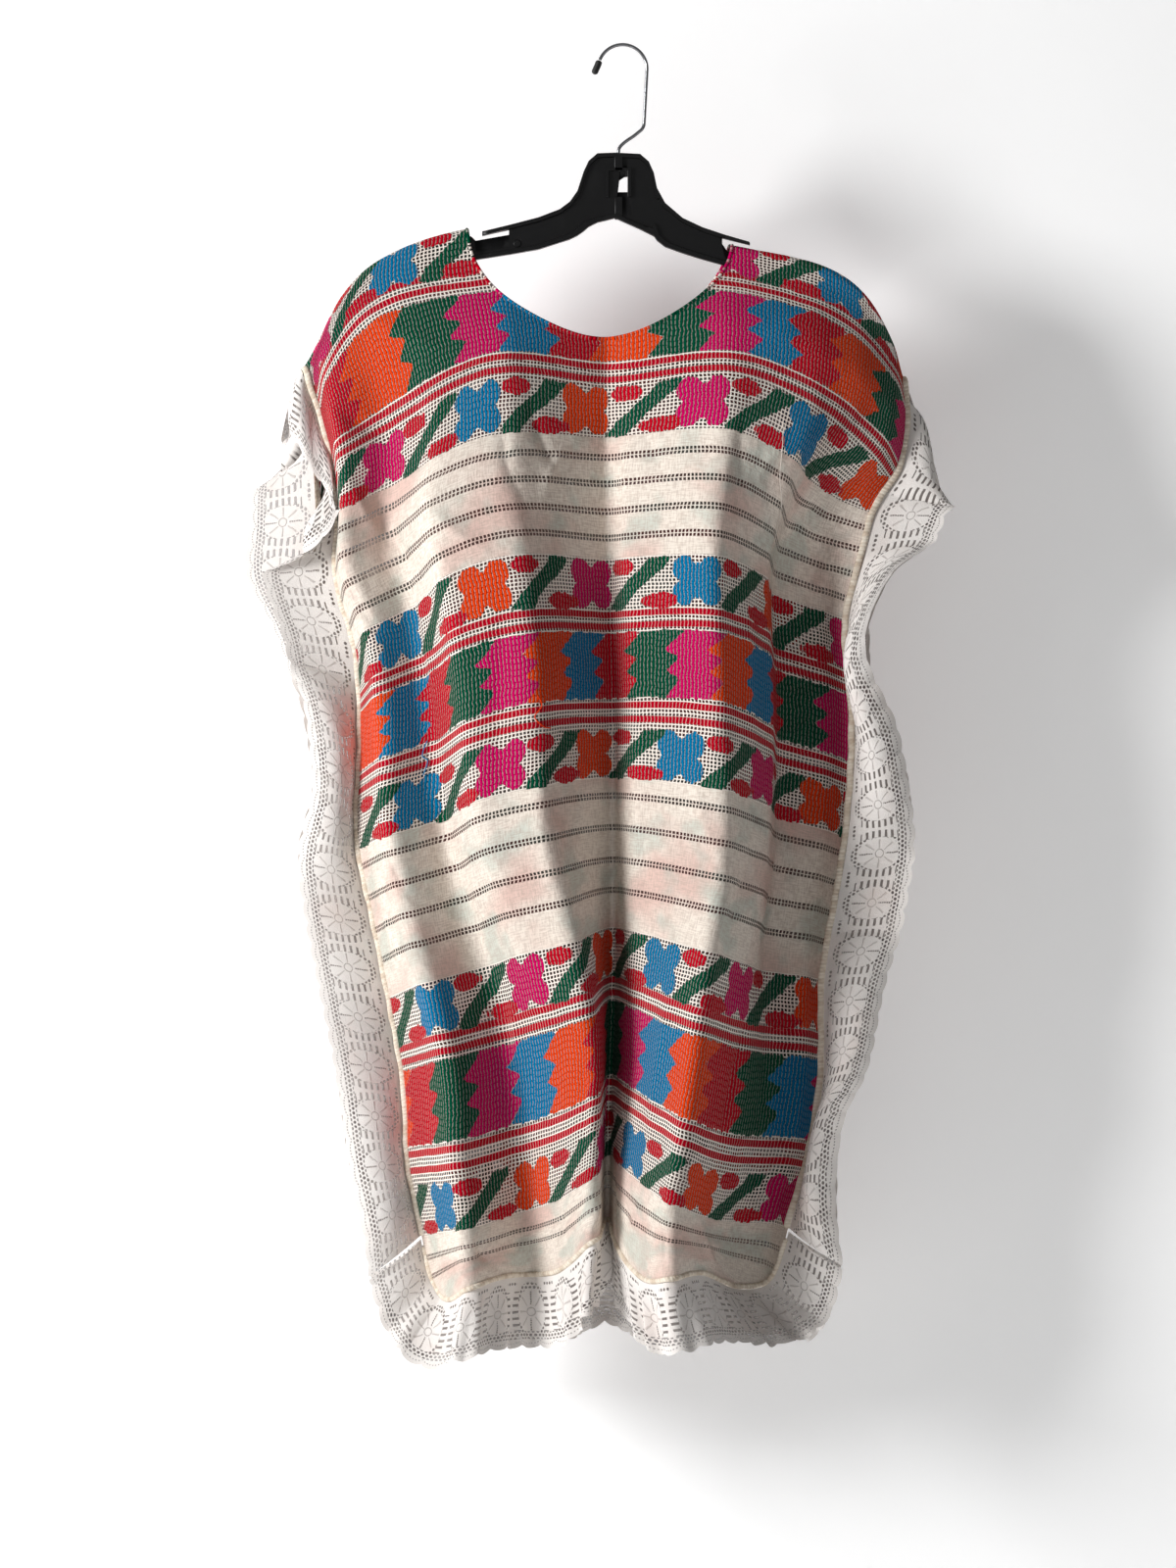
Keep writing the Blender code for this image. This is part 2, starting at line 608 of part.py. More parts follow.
def make_hook(metal, tip):
    """Wire hook: crown, straight shank and the bend that brings it over the block."""
    crown = arc((0.0, HOOK_WIRE / 2 - HOOK_RADIUS), HOOK_RADIUS, *CROWN_TURN, 20)
    bend = arc((SHANK_FOOT.along - BEND_RADIUS, SHANK_FOOT.height), BEND_RADIUS, *BEND_TURN, 5)
    wire = crown + bend + [tuple(corner) for corner in SWAN_NECK]
    tube("hook_wire", wire, HOOK_WIRE, metal)
    first, second = np.array(wire[0]), np.array(wire[1])
    away = (first - second) / np.linalg.norm(first - second)
    start = first + away * SEAM_GAP
    cap = [start + away * HOOK_TIP_LENGTH * share for share in (0, 0.5, 1.0)]
    tube("hook_tip", [tuple(place) for place in cap], HOOK_TIP_WIDTH, tip)


def main():
    clear_scene()
    brocade, lace, plastic, metal, tip = (make_material(m) for m in (BROCADE, LACE, PLASTIC, METAL, TIP))
    front = Cloth(FRONT_WEFT, FRONT_FOLDS, FRONT_FACES, FRONT_DEPTHS, front=True)
    back = Cloth(BACK_WEFT, BACK_FOLDS, BACK_FACES, BACK_DEPTHS, front=False)
    halves = (("front", front, FRONT_ROWS, FRONT_LEAN), ("back", back, BACK_ROWS, BACK_LEAN))
    for side, cloth, rows, lean in halves:
        make_panel(f"{side}_panel", cloth, rows, brocade)
        make_side_lace(f"lace_left_{side}", cloth, rows, LACE_LEFT, -1, lean, lace)
        make_side_lace(f"lace_right_{side}", cloth, rows, LACE_RIGHT, 1, lean, lace)
        make_hem_lace(f"lace_hem_{side}", cloth, LACE_HEM, lean, lace)
    make_hanger(plastic)
    make_hook(metal, tip)


main()
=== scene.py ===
# %% [markdown]
# # A huipil blouse on its hanger
# This notebook dresses a plain solid model of a hand-woven blouse.  The solids give every place
# and size.  Each cell below adds one real thing: the stage, the brocaded cloth, its hems and
# threads, the lace, and the hanger with its hook.  Lengths are in millimetres until a mesh is
# made, because a weaver and a tailor both count in them.

import math
from collections import namedtuple

import bmesh
import bpy
import numpy as np
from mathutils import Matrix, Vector


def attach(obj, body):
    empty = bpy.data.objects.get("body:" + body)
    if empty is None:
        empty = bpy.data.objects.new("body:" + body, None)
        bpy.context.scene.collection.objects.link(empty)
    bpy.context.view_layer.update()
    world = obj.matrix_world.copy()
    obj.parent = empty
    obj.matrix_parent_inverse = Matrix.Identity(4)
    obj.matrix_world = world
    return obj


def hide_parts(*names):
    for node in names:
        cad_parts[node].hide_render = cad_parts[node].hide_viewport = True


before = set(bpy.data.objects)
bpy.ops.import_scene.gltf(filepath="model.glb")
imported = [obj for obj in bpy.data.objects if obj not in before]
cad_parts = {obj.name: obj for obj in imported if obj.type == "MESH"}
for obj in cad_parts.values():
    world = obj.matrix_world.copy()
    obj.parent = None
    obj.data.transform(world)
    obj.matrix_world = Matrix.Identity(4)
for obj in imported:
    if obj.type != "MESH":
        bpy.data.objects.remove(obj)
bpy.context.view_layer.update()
MM = 0.001
print("solids:", ", ".join(sorted(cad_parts)))

# %% [markdown]
# ## The camera
# The blouse hangs at eye level and is seen square from the front.  A long lens keeps the hem and
# the hook at the same scale, so the camera stands well back.

# %% Camera
VIEW_CENTRE = Vector((-0.0275, 0.0, -0.588))
VIEW_HEIGHT = 1.245
CAMERA_DISTANCE = 5.0
FRONT_OF_CLOTH = 0.02

camera_data = bpy.data.cameras.new("camera")
camera_data.lens = camera_data.sensor_width * (CAMERA_DISTANCE - FRONT_OF_CLOTH) / VIEW_HEIGHT
camera = bpy.data.objects.new("camera", camera_data)
camera.location = VIEW_CENTRE + Vector((0, -CAMERA_DISTANCE, 0))
camera.rotation_euler = (math.pi / 2, 0, 0)
bpy.context.scene.collection.objects.link(camera)
bpy.context.scene.camera = camera
print(f"lens {camera_data.lens:.0f} mm")

# %% [markdown]
# ## Shader maths that reads like arithmetic
# A weave is easier to follow as a formula than as boxes and wires.  `Wire` wraps one output of a
# material's nodes and turns + - * / into Math nodes.  `Finish` holds the material, and its `node`
# method makes any other node from its type, its settings and its socket values.

# %% Wire and Finish
class Wire:
    """One output of a finish's nodes."""

    def __init__(self, finish, socket):
        self.finish, self.socket = finish, socket

    def math(self, operation, *values):
        return self.finish.node("Math", {"operation": operation}, dict(enumerate((self, *values))))

    def __radd__(self, other):
        return self + other

    def __rmul__(self, other):
        return self * other

    def __rsub__(self, other):
        return (self * -1) + other

    def length(self, other):
        return (self * self + other * other).power(0.5)

    def step(self, start, end):
        """0 below start and 1 above end, with a soft step between; falls if start is above end."""
        settings = {"interpolation_type": "SMOOTHSTEP"}
        return self.finish.node("MapRange", settings, {0: self, 1: start, 2: end, 3: 0.0, 4: 1.0})

    def between(self, start, end, soft=0.3):
        return self.step(start - soft, start + soft) * self.step(end + soft, end - soft)

    def off_centre(self, pitch):
        """Distance from the nearest of a row of centres, which are a pitch apart."""
        return abs((self / pitch + 0.5).fract() - 0.5) * pitch


def plain_operation(operation):
    return lambda wire, *others: wire.math(operation, *others)


for method, operation in {
    "__add__": "ADD", "__sub__": "SUBTRACT", "__mul__": "MULTIPLY", "__truediv__": "DIVIDE",
    "__abs__": "ABSOLUTE", "fract": "FRACT", "floor": "FLOOR", "power": "POWER",
    "max": "MAXIMUM", "min": "MINIMUM",
}.items():
    setattr(Wire, method, plain_operation(operation))


class Finish:
    """A material on one Principled shader."""

    def __init__(self, name, colour=(0.8, 0.8, 0.8), roughness=0.5, metallic=0.0, shine=0.5):
        self.material = bpy.data.materials.new(name)
        self.material.use_nodes = True
        self.tree = self.material.node_tree
        self.surface = self.tree.nodes["Principled BSDF"]
        self.surface.inputs["Base Color"].default_value = (*colour, 1.0)
        self.surface.inputs["Roughness"].default_value = roughness
        self.surface.inputs["Metallic"].default_value = metallic
        self.surface.inputs["Specular IOR Level"].default_value = shine

    def node(self, kind, settings=None, sockets=None, output=0):
        made = self.tree.nodes.new("ShaderNode" + kind)
        for name, value in (settings or {}).items():
            setattr(made, name, value)
        for name, value in (sockets or {}).items():
            if isinstance(value, Wire):
                self.tree.links.new(value.socket, made.inputs[name])
            else:
                made.inputs[name].default_value = value
        return Wire(self, made.outputs[output])

    def feed(self, socket, wire):
        self.tree.links.new(wire.socket, self.surface.inputs[socket])

    def measure(self, name):
        """A number stored on the mesh, such as a place on the flat cloth."""
        return self.node("Attribute", {"attribute_name": name}, output="Fac")

    def vector(self, x, y):
        return self.node("CombineXYZ", sockets={0: x, 1: y})

    def noise(self, place, scale, detail=2.0, rough=0.5):
        sockets = {"Vector": place, "Scale": scale, "Detail": detail, "Roughness": rough}
        return self.node("TexNoise", sockets=sockets)

    def chance(self, x):
        """A fixed random number for each whole number."""
        place = self.vector(x, 0.0)
        return self.node("TexWhiteNoise", {"noise_dimensions": "2D"}, {"Vector": place})

    def mix(self, amount, first, second, blend="MIX"):
        """Two colours mixed by an amount from 0 to 1."""
        settings = {"data_type": "RGBA", "blend_type": blend}
        first, second = (c if isinstance(c, Wire) else (*c, 1.0) for c in (first, second))
        return self.node("Mix", settings, {0: amount, 6: first, 7: second}, output=2)

    def bump(self, height, distance, strength=1.0):
        sockets = {"Height": height, "Distance": distance * MM, "Strength": strength}
        self.feed("Normal", self.node("Bump", sockets=sockets))


# %% [markdown]
# ## Dyes and threads
# Colours are given as the eye reads them on a screen, from 0 to 255, and turned into the linear
# values that light needs.  The brocade is bright acrylic yarn laid in by hand; the ground is
# unbleached cotton.

# %% Colours
DARKEST_CURVED = 10           # at or below this level the screen's curve is a straight line


def dye(*levels):
    """Screen levels of red, green and blue as linear values."""
    return tuple(((level / 255 + 0.055) / 1.055) ** 2.4 if level > DARKEST_CURVED
                 else level / 255 / 12.92 for level in levels)


MAGENTA = dye(226, 4, 104)
BLUE = dye(0, 130, 184)
GREEN = dye(0, 84, 58)
ORANGE = dye(255, 70, 12)
RED = dye(214, 4, 36)
STRIPE_RED = dye(190, 2, 32)
CREAM = dye(229, 219, 207)
WARP_WHITE = dye(240, 230, 220)
LACE_WHITE = dye(230, 225, 221)
SHADE_IN_HOLES = dye(66, 24, 26)
# painted shade that tints the lace's holes; the second, darker one is for the outer border
SHADE_IN_LACE = dye(122, 114, 110)
DEEPER_SHADE_IN_LACE = dye(66, 50, 50)
print("five brocade dyes on cream")

# %% [markdown]
# ## The shape of the hanging cloth
# Real cloth folds without stretching, so the solids were worked out from flat cloth: each weft
# line was laid along a row of folds until 590 mm of it fitted the outline.  The same tables and
# the same sums are used here in finer steps, so this thin cloth lies in the middle of its solid.
# Only the back's left edge goes further out, below the shoulder, so that its lace shows beyond
# the front's.  A cloth simulation would also drape, but not into these exact folds.

# %% Tables of the hanging cloth
CLOTH_HALF_WIDTH = 295.0     # from the centre crease to a side edge
CLOTH_LENGTH = 847.0         # from the shoulder fold to the hem, each side
CORNER_RADIUS = 90.0
NECK_CENTRE = -6.0
NECK_HALF_WIDTH = 106.0
NECK_DEPTH = 91.0
NECK_FADE = 290.0            # below this the grid's columns no longer follow the neck
CORNER_FADE = 560.0          # below this its rows follow the rounded corners
FOLD_LEVEL = -147.5
FOLD_RADIUS = 8.0


def rows_of(kind, *rows):
    """A table: each row of plain numbers as one named tuple."""
    return [kind(*row) for row in rows]


Outline = namedtuple("Outline", "down left crease right")
OUTLINE = rows_of(
    Outline,
    (0, -256, -12, 224), (47, -243, -12, 227), (110, -231, -12, 221), (160, -227, -12, 203),
    (210, -228, -12, 192), (265, -214, -11, 179), (345, -210, -9, 184), (435, -212, -8, 179),
    (500, -200, -8, 170), (565, -188, -8, 160), (645, -175, -9, 158), (700, -172, -11, 148),
    (750, -161, -12, 133), (847, -150, -13, 121),
)

BACK_FURTHER_LEFT = (0, 8, 15, 17, 17, 12, 4, 1, 0, 0, 0, 0, 0, 0)
BACK_OUTLINE = [row._replace(left=row.left - further)
                for row, further in zip(OUTLINE, BACK_FURTHER_LEFT)]

# how far a weft line hangs below its middle, at seven places across
Weft = namedtuple("Weft", "down left_edge left_step left_front "
                          "crease right_front right_step right_edge")
WEFT_PLACES = (-295, -190, -110, 0, 110, 190, 295)
FRONT_WEFT = rows_of(
    Weft,
    (0, 111, 25, -2.5, 0, 13, 34, 120), (47, 101, 19, 1, 0, 3, 28, 101),
    (119, 78, 28, -4, 0, -5, 25, 80), (169, 72, 31, 1, 0, -2, 26, 61),
    (270, 71, 30, 1, 0, 0, 19, 48), (352, 61, 30, 6, 0, 2, 23, 51),
    (439, 57, 33, 10, -1, 8, 24, 47), (572, 47, 26, 9, -10, 4, 20, 33),
    (659, 46, 31, 15, -12, 10, 29, 40), (754, 50, 38, 21, -14, 9, 32, 44),
    (847, 36, -8, -14, -55, -12, -16, 30),
)

# where the folds stand across the flat cloth, then the angles of the faces between them
Folds = namedtuple("Folds", "down outer_left valley_left step_left front_left "
                            "crease rise_right front_right turn_right step_right outer_right")
FRONT_FOLDS = rows_of(
    Folds,
    (0, -262, -222, -170, -90, 0, 25, 95, 170, 215, 262),
    (160, -260, -215, -160, -90, 0, 25, 98, 175, 216, 260),
    (345, -248, -207, -152, -91, 0, 26, 102, 180, 218, 257),
    (500, -230, -180, -130, -78, 0, 34, 120, 188, 226, 262),
    (655, -215, -155, -105, -62, 0, 42, 138, 200, 236, 264),
    (847, -205, -145, -95, -45, 0, 50, 150, 205, 240, 266),
)

Faces = namedtuple("Faces", "down edge_left outer_left step_left front_left inner_left "
                            "inner_right front_right turn_right step_right outer_right edge_right")
FRONT_FACES = rows_of(
    Faces,
    (0, 30, 0, 0, 0, 0, 0, 0, 0, 0, -10, -40), (60, 45, -6, 8, 4, -4, 4, 3, -6, -15, -25, -55),
    (110, 55, -8, 14, 5, -8, 8, 4, -12, -25, -32, -50),
    (160, 58, -12, 22, 5, -12, 14, 6, -20, -38, -32, -20),
    (265, 56, -24, 48, 5, -30, 36, 16, -36, -66, -16, 34),
    (345, 56, -28, 52, 6, -40, 47, 22, -44, -77, -12, 42),
    (500, 56, -30, 50, 12, -46, 50, 26, -46, -66, -16, 46),
    (655, 55, -35, 45, 40, -72, 62, 48, -44, -46, -24, 50),
    (847, 52, -34, 44, 42, -78, 66, 50, -44, -46, -26, 48),
)

BACK_WEFT = rows_of(
    Weft,
    (0, 111, 25, -2.5, 0, 13, 34, 120), (47, 101, 19, 1, 0, 3, 28, 101),
    (119, 78, 28, -4, 0, -5, 25, 80), (169, 72, 31, 1, 0, -2, 26, 61),
    (345, 61, 24, 4, 0, 4, 22, 51), (565, 47, 20, 4, -2, 4, 16, 33),
    (750, 50, 26, 8, -2, 6, 22, 44), (847, 36, -4, -12, -18, -12, -8, 30),
)
BACK_FOLDS = rows_of(
    Folds,
    (0, -255, -205, -150, -70, 0, 60, 120, 165, 210, 255),
    (345, -250, -205, -150, -75, 0, 55, 115, 160, 205, 250),
    (847, -240, -190, -140, -80, 0, 50, 105, 150, 200, 246),
)
BACK_FACES = rows_of(
    Faces,
    (0, 20, 0, 0, 0, 0, 0, 0, 0, 0, 0, -20), (110, 50, 4, 12, -8, 6, -6, 8, -10, 6, -12, -50),
    (265, 70, -12, 34, -30, 30, -30, 30, -34, 22, -20, -70),
    (345, 72, -20, 42, -38, 38, -38, 40, -42, 32, -26, -72),
    (655, 74, -26, 50, -46, 46, -46, 50, -50, 42, -34, -74),
    (847, 74, -28, 52, -48, 48, -48, 52, -52, 44, -36, -74),
)

Depths = namedtuple("Depths", "down left_edge crease right_edge")
FRONT_DEPTHS = rows_of(
    Depths,
    (0, 0, 0, 0), (60, 2, 3, 0), (110, 4, 8, 2), (200, 6, 14, 6), (310, -4.5, 14, -4.5),
    (400, -5, 12, -5), (655, -5, 6, -5), (847, -5, 4, -5),
)
BACK_DEPTHS = rows_of(
    Depths,
    (0, 0, 0, 0), (60, 4, 3, 6), (110, 8, 8, 8), (200, 8, 20, 8), (310, -4.5, 28, -4.5),
    (400, -5, 30, -5), (655, -5, 32, -5), (847, -5, 32, -5),
)
print(f"cloth {2 * CLOTH_HALF_WIDTH:.0f} mm wide and {2 * CLOTH_LENGTH:.0f} mm long")


# %% From flat cloth to its place
def smooth_curve(places, values, wanted):
    """Cubic through (place, value) pairs, with slopes taken from the neighbours."""
    places = np.asarray(places, float)
    values = np.asarray(values, float)
    slopes = np.gradient(values, places)
    wanted = np.clip(wanted, places[0], places[-1])
    left = np.clip(np.searchsorted(places, wanted, side="right") - 1, 0, len(places) - 2)
    span = places[left + 1] - places[left]
    part = (wanted - places[left]) / span
    return ((1 + 2 * part) * (1 - part) ** 2 * values[left]
            + part * (1 - part) ** 2 * span * slopes[left]
            + part ** 2 * (3 - 2 * part) * values[left + 1]
            + part ** 2 * (part - 1) * span * slopes[left + 1])


def row_at(table, down):
    """One row of a table, read between its rows; the first column is dropped."""
    columns = np.array(table, float).T
    return np.array([smooth_curve(columns[0], column, down) for column in columns[1:]])


def ease(value, start, end):
    part = np.clip((value - start) / (end - start), 0, 1)
    return part * part * (3 - 2 * part)


def fold_drop(down):
    """Height lost and depth gained where the cloth turns over the hanger's arm."""
    angle = np.minimum(down / FOLD_RADIUS, math.pi / 2)
    past = np.maximum(down - FOLD_RADIUS * math.pi / 2, 0)
    return FOLD_RADIUS * (1 - np.cos(angle)) + past, FOLD_RADIUS * np.sin(angle)


class Cloth:
    """One hanging panel, as a map from flat cloth (across, down) to its place in space."""

    FOLD_SOFTNESS = 9.0
    CREASE_SOFTNESS = 2.0
    STEP_ACROSS = 2.5
    STEP_DOWN = 4.0
    STEEPEST = 84.0          # degrees, for any face
    MOST_FOLDED = 1.8        # the most that the listed angles may be multiplied by
    HALVINGS = 24            # tries at the multiple that fits a half's width
    OPENS = (8, 90)          # the folds grow between these places below the shoulder

    def __init__(self, outline, weft, folds, faces, depths, front):
        self.side = -1.0 if front else 1.0
        self.outline = outline
        self.across = np.arange(-CLOTH_HALF_WIDTH, CLOTH_HALF_WIDTH + 0.1, self.STEP_ACROSS)
        self.down = np.append(np.arange(0, CLOTH_LENGTH, self.STEP_DOWN), CLOTH_LENGTH)
        self.places = np.array([self.section(weft, folds, faces, depths, d) for d in self.down])

    def face_angles(self, folds, faces):
        """Angle of the cloth at each step across, turning smoothly at each fold."""
        spots, angles = [-CLOTH_HALF_WIDTH], [faces[0]]
        for number, fold in enumerate(folds):
            soft = self.CREASE_SOFTNESS if fold == 0 else self.FOLD_SOFTNESS
            spots += [fold - soft, fold + soft]
            angles += [faces[number], faces[number + 1]]
        return np.interp(self.across, [*spots, CLOTH_HALF_WIDTH], [*angles, faces[-1]])

    def half_section(self, angles, slope, width):
        """Across and depth of one half, with its folds as deep as its width needs."""
        step = self.STEP_ACROSS * np.sqrt(np.clip(1 - slope ** 2, 0.05, 1))

        def lay(scale):
            turned = np.radians(np.clip(angles * scale, -self.STEEPEST, self.STEEPEST))
            over = np.append(0, np.cumsum(step * np.cos(turned)))
            return over, np.append(0, np.cumsum(step * np.sin(turned)))

        low, high = 0.0, self.MOST_FOLDED
        for _ in range(self.HALVINGS):
            middle = (low + high) / 2
            if lay(middle)[0][-1] > width:
                low = middle
            else:
                high = middle
        over, forward = lay(low)
        return over * width / over[-1], forward

    def section(self, weft, folds, faces, depths, down):
        left, crease, right = row_at(self.outline, down)
        hang = smooth_curve(WEFT_PLACES, row_at(weft, down), self.across)
        angles = self.face_angles(row_at(folds, down), row_at(faces, down))
        angles = (angles[1:] + angles[:-1]) / 2
        slope = np.diff(hang) / self.STEP_ACROSS
        half = len(self.across) // 2
        edge_left, depth_crease, edge_right = row_at(depths, down)
        over_l, forward_l = self.half_section(
            -angles[:half][::-1], slope[:half][::-1], crease - left)
        over_r, forward_r = self.half_section(angles[half:], slope[half:], right - crease)
        share = np.linspace(0, 1, half + 1)
        forward_l = depth_crease + forward_l + (edge_left - depth_crease - forward_l[-1]) * share
        forward_r = depth_crease + forward_r + (edge_right - depth_crease - forward_r[-1]) * share
        x = np.concatenate([crease - over_l[::-1], crease + over_r[1:]])
        forward = np.concatenate([forward_l[::-1], forward_r[1:]])
        lost, turned_out = fold_drop(down)
        y = self.side * (turned_out + forward * ease(down, *self.OPENS))
        return np.stack([x, y, FOLD_LEVEL - lost - hang], axis=1)

    def point(self, across, down):
        """Places in space for arrays of places on the flat cloth."""
        column = (np.asarray(across) + CLOTH_HALF_WIDTH) / self.STEP_ACROSS
        column = np.clip(column, 0, len(self.across) - 1.001)
        row = np.interp(down, self.down, np.arange(len(self.down)))
        row = np.clip(row, 0, len(self.down) - 1.001)
        c, r = column.astype(int), row.astype(int)
        fc, fr = (column - c)[..., None], (row - r)[..., None]
        upper = self.places[r, c] * (1 - fc) + self.places[r, c + 1] * fc
        lower = self.places[r + 1, c] * (1 - fc) + self.places[r + 1, c + 1] * fc
        return upper * (1 - fr) + lower * fr


front = Cloth(OUTLINE, FRONT_WEFT, FRONT_FOLDS, FRONT_FACES, FRONT_DEPTHS, front=True)
back = Cloth(BACK_OUTLINE, BACK_WEFT, BACK_FOLDS, BACK_FACES, BACK_DEPTHS, front=False)
print("front reaches", round(-front.places[..., 1].min()), "mm forward of the hanger")


# %% [markdown]
# ## The grid of the fine cloth
# The neck is a round scoop and the bottom corners are rounded, so a square grid would leave a
# stepped edge.  Instead the grid's columns crowd round the neck and relax below it, and its rows
# dip to follow the corners, as the solid's do.

# %% Grid over a panel
SIDE_STEPS = 56              # columns between the neck and a side edge
NECK_STEPS = 120             # columns round the scoop
ROW_STEP = 2.7
RELAX_START = 0.15           # the share of NECK_FADE where the columns start to relax


def neck_edge(across):
    part = np.minimum(np.abs(across - NECK_CENTRE) / NECK_HALF_WIDTH, 1)
    return NECK_DEPTH * np.sqrt(1 - part ** 2)


def hem_edge(across):
    past = np.maximum(np.abs(across) - (CLOTH_HALF_WIDTH - CORNER_RADIUS), 0)
    return CLOTH_LENGTH - CORNER_RADIUS + np.sqrt(np.maximum(CORNER_RADIUS ** 2 - past ** 2, 0))


def panel_grid():
    """Where every column and row of the fine grid lies on the flat cloth."""
    turns = np.linspace(0, math.pi, NECK_STEPS + 1)[1:-1]
    neck = NECK_CENTRE - NECK_HALF_WIDTH * np.cos(turns)
    left = np.linspace(-CLOTH_HALF_WIDTH, NECK_CENTRE - NECK_HALF_WIDTH, SIDE_STEPS + 1)
    right = np.linspace(NECK_CENTRE + NECK_HALF_WIDTH, CLOTH_HALF_WIDTH, SIDE_STEPS + 1)
    at_neck = np.concatenate([left, neck, right])
    evenly = np.linspace(-CLOTH_HALF_WIDTH, CLOTH_HALF_WIDTH, len(at_neck))
    levels = np.append(np.arange(0, CLOTH_LENGTH, ROW_STEP), CLOTH_LENGTH)[:, None]
    shift = ease(levels, NECK_FADE * RELAX_START, NECK_FADE)
    across = at_neck * (1 - shift) + evenly * shift
    down = levels + neck_edge(at_neck) * np.maximum(1 - levels / NECK_FADE, 0)
    rounding = np.maximum(levels - CORNER_FADE, 0) / (CLOTH_LENGTH - CORNER_FADE)
    return across, down - (CLOTH_LENGTH - hem_edge(across)) * rounding


grid_across, grid_down = panel_grid()
print("fine grid", grid_across.shape)

# %% [markdown]
# ## Creases
# Thin cotton that has been folded away keeps marks: long drags from the shoulders, short crow's
# feet by the seams and a few soft dents.  Each is listed as a trough or a ridge, and the
# hidden back gets its own, of the same kinds.

# %% Creases, listed one by one
CREASE_DEPTH = 1.9           # every height in the tables is multiplied by this
Crease = namedtuple("Crease", "across down length lean width height")
FRONT_CREASES = rows_of(
    Crease,
    (-60, 178, 46, 62, 5, -1.6), (-52, 200, 40, 118, 6, 1.3), (-92, 190, 60, 75, 8, -1.8),
    (18, 200, 55, 96, 7, 1.2), (40, 186, 34, 60, 5, -1.3), (118, 205, 70, 80, 8, -1.7),
    (150, 178, 44, 128, 6, 1.2), (-140, 236, 60, 52, 8, 1.6), (-212, 214, 74, 66, 7, -2.0),
    (-238, 180, 60, 58, 6, 1.6), (-255, 250, 56, 74, 6, -1.6), (236, 196, 64, 112, 7, -1.8),
    (262, 238, 56, 104, 6, 1.5), (-188, 452, 84, 84, 8, -2.0), (-154, 500, 90, 96, 9, 1.8),
    (-236, 470, 66, 70, 6, -1.7), (-262, 520, 60, 78, 6, 1.5), (-86, 474, 96, 88, 10, 1.6),
    (-40, 452, 50, 112, 6, -1.2), (46, 512, 90, 82, 8, -1.5), (96, 462, 66, 68, 7, 1.4),
    (150, 520, 80, 100, 8, -1.7), (214, 476, 70, 108, 7, 1.5), (250, 520, 64, 98, 6, -1.6),
    (-200, 300, 110, 86, 10, 1.5), (-120, 372, 120, 92, 12, -1.6), (140, 330, 130, 88, 12, 1.6),
    (-150, 640, 120, 94, 11, 1.8), (-70, 690, 100, 84, 10, -1.6), (90, 660, 130, 92, 12, 1.5),
    (190, 640, 100, 100, 9, -1.7), (-190, 800, 60, 70, 6, -2.2), (-150, 806, 56, 96, 6, 2.0),
    (-96, 800, 60, 82, 7, -2.0), (-50, 812, 50, 100, 6, 1.8), (40, 806, 60, 76, 6, -2.0),
    (86, 800, 56, 104, 7, 1.9), (140, 806, 60, 88, 6, -2.0), (196, 796, 56, 72, 6, 1.8),
    (-180, 70, 90, 40, 9, 1.4), (160, 60, 90, 140, 9, 1.4), (-236, 110, 80, 48, 8, -1.6),
    (228, 110, 80, 132, 8, -1.6),
)
BACK_CREASES = rows_of(
    Crease,
    (-210, 110, 90, 48, 8, -1.6), (196, 96, 90, 134, 9, 1.5), (-90, 190, 70, 78, 8, -1.7),
    (-20, 214, 60, 100, 7, 1.3), (64, 196, 66, 70, 7, -1.5), (150, 220, 70, 112, 8, 1.6),
    (-230, 226, 70, 66, 7, 1.7), (242, 210, 64, 108, 7, -1.7), (-170, 330, 120, 88, 11, -1.6),
    (110, 350, 130, 94, 12, 1.6), (-200, 480, 80, 80, 8, 1.8), (-110, 500, 90, 96, 9, -1.7),
    (-10, 470, 80, 84, 8, 1.4), (92, 520, 90, 92, 9, -1.6), (206, 480, 76, 104, 8, 1.6),
    (-140, 660, 120, 90, 11, 1.7), (20, 690, 110, 86, 10, -1.5), (160, 650, 120, 96, 11, 1.6),
    (-160, 804, 60, 76, 7, -2.0), (-60, 806, 56, 98, 6, 1.8), (70, 804, 60, 84, 7, -1.9),
    (170, 800, 56, 100, 6, 1.8),
)


def crease_heights(creases, across, down):
    """How far each place on the flat cloth is lifted by the creases near it."""
    lift = np.zeros_like(across + down)
    for crease in creases:
        lean = math.radians(crease.lean)
        x, y = across - crease.across, down - crease.down
        along = x * math.cos(lean) + y * math.sin(lean)
        off = -x * math.sin(lean) + y * math.cos(lean) + 0.02 * along * along / crease.width
        fade = np.exp(-(along / crease.length * 2) ** 2)
        profile = np.exp(-1.2 * np.abs(off / crease.width) ** 1.35)
        lift += CREASE_DEPTH * crease.height * fade * profile
    return lift


print(len(FRONT_CREASES), "creases in front and", len(BACK_CREASES), "behind")

# %% [markdown]
# ## The brocade's figures
# Bands of laid-in yarn cross the cloth: a vine of four-lobed flowers and slanting leaves, then
# double red stripes, then a band of blocks whose edges are toothed like flames.  Each figure is
# drawn here as a distance on the flat cloth, negative inside it, from its own few sizes.  The
# distances are stored on the mesh, one per yarn colour, and the finish cuts them sharply.

# %% Figures as distances
PATTERN_START = 9.0          # the pattern is counted from here below the shoulder fold
TOOTH_DROP = (0, 0.30, 0.40, 0.62, 0.72, 1.0)
TOOTH_SHIFT = (10.5, -9.5, 6.5, -7.0, 7.0, -6.0)

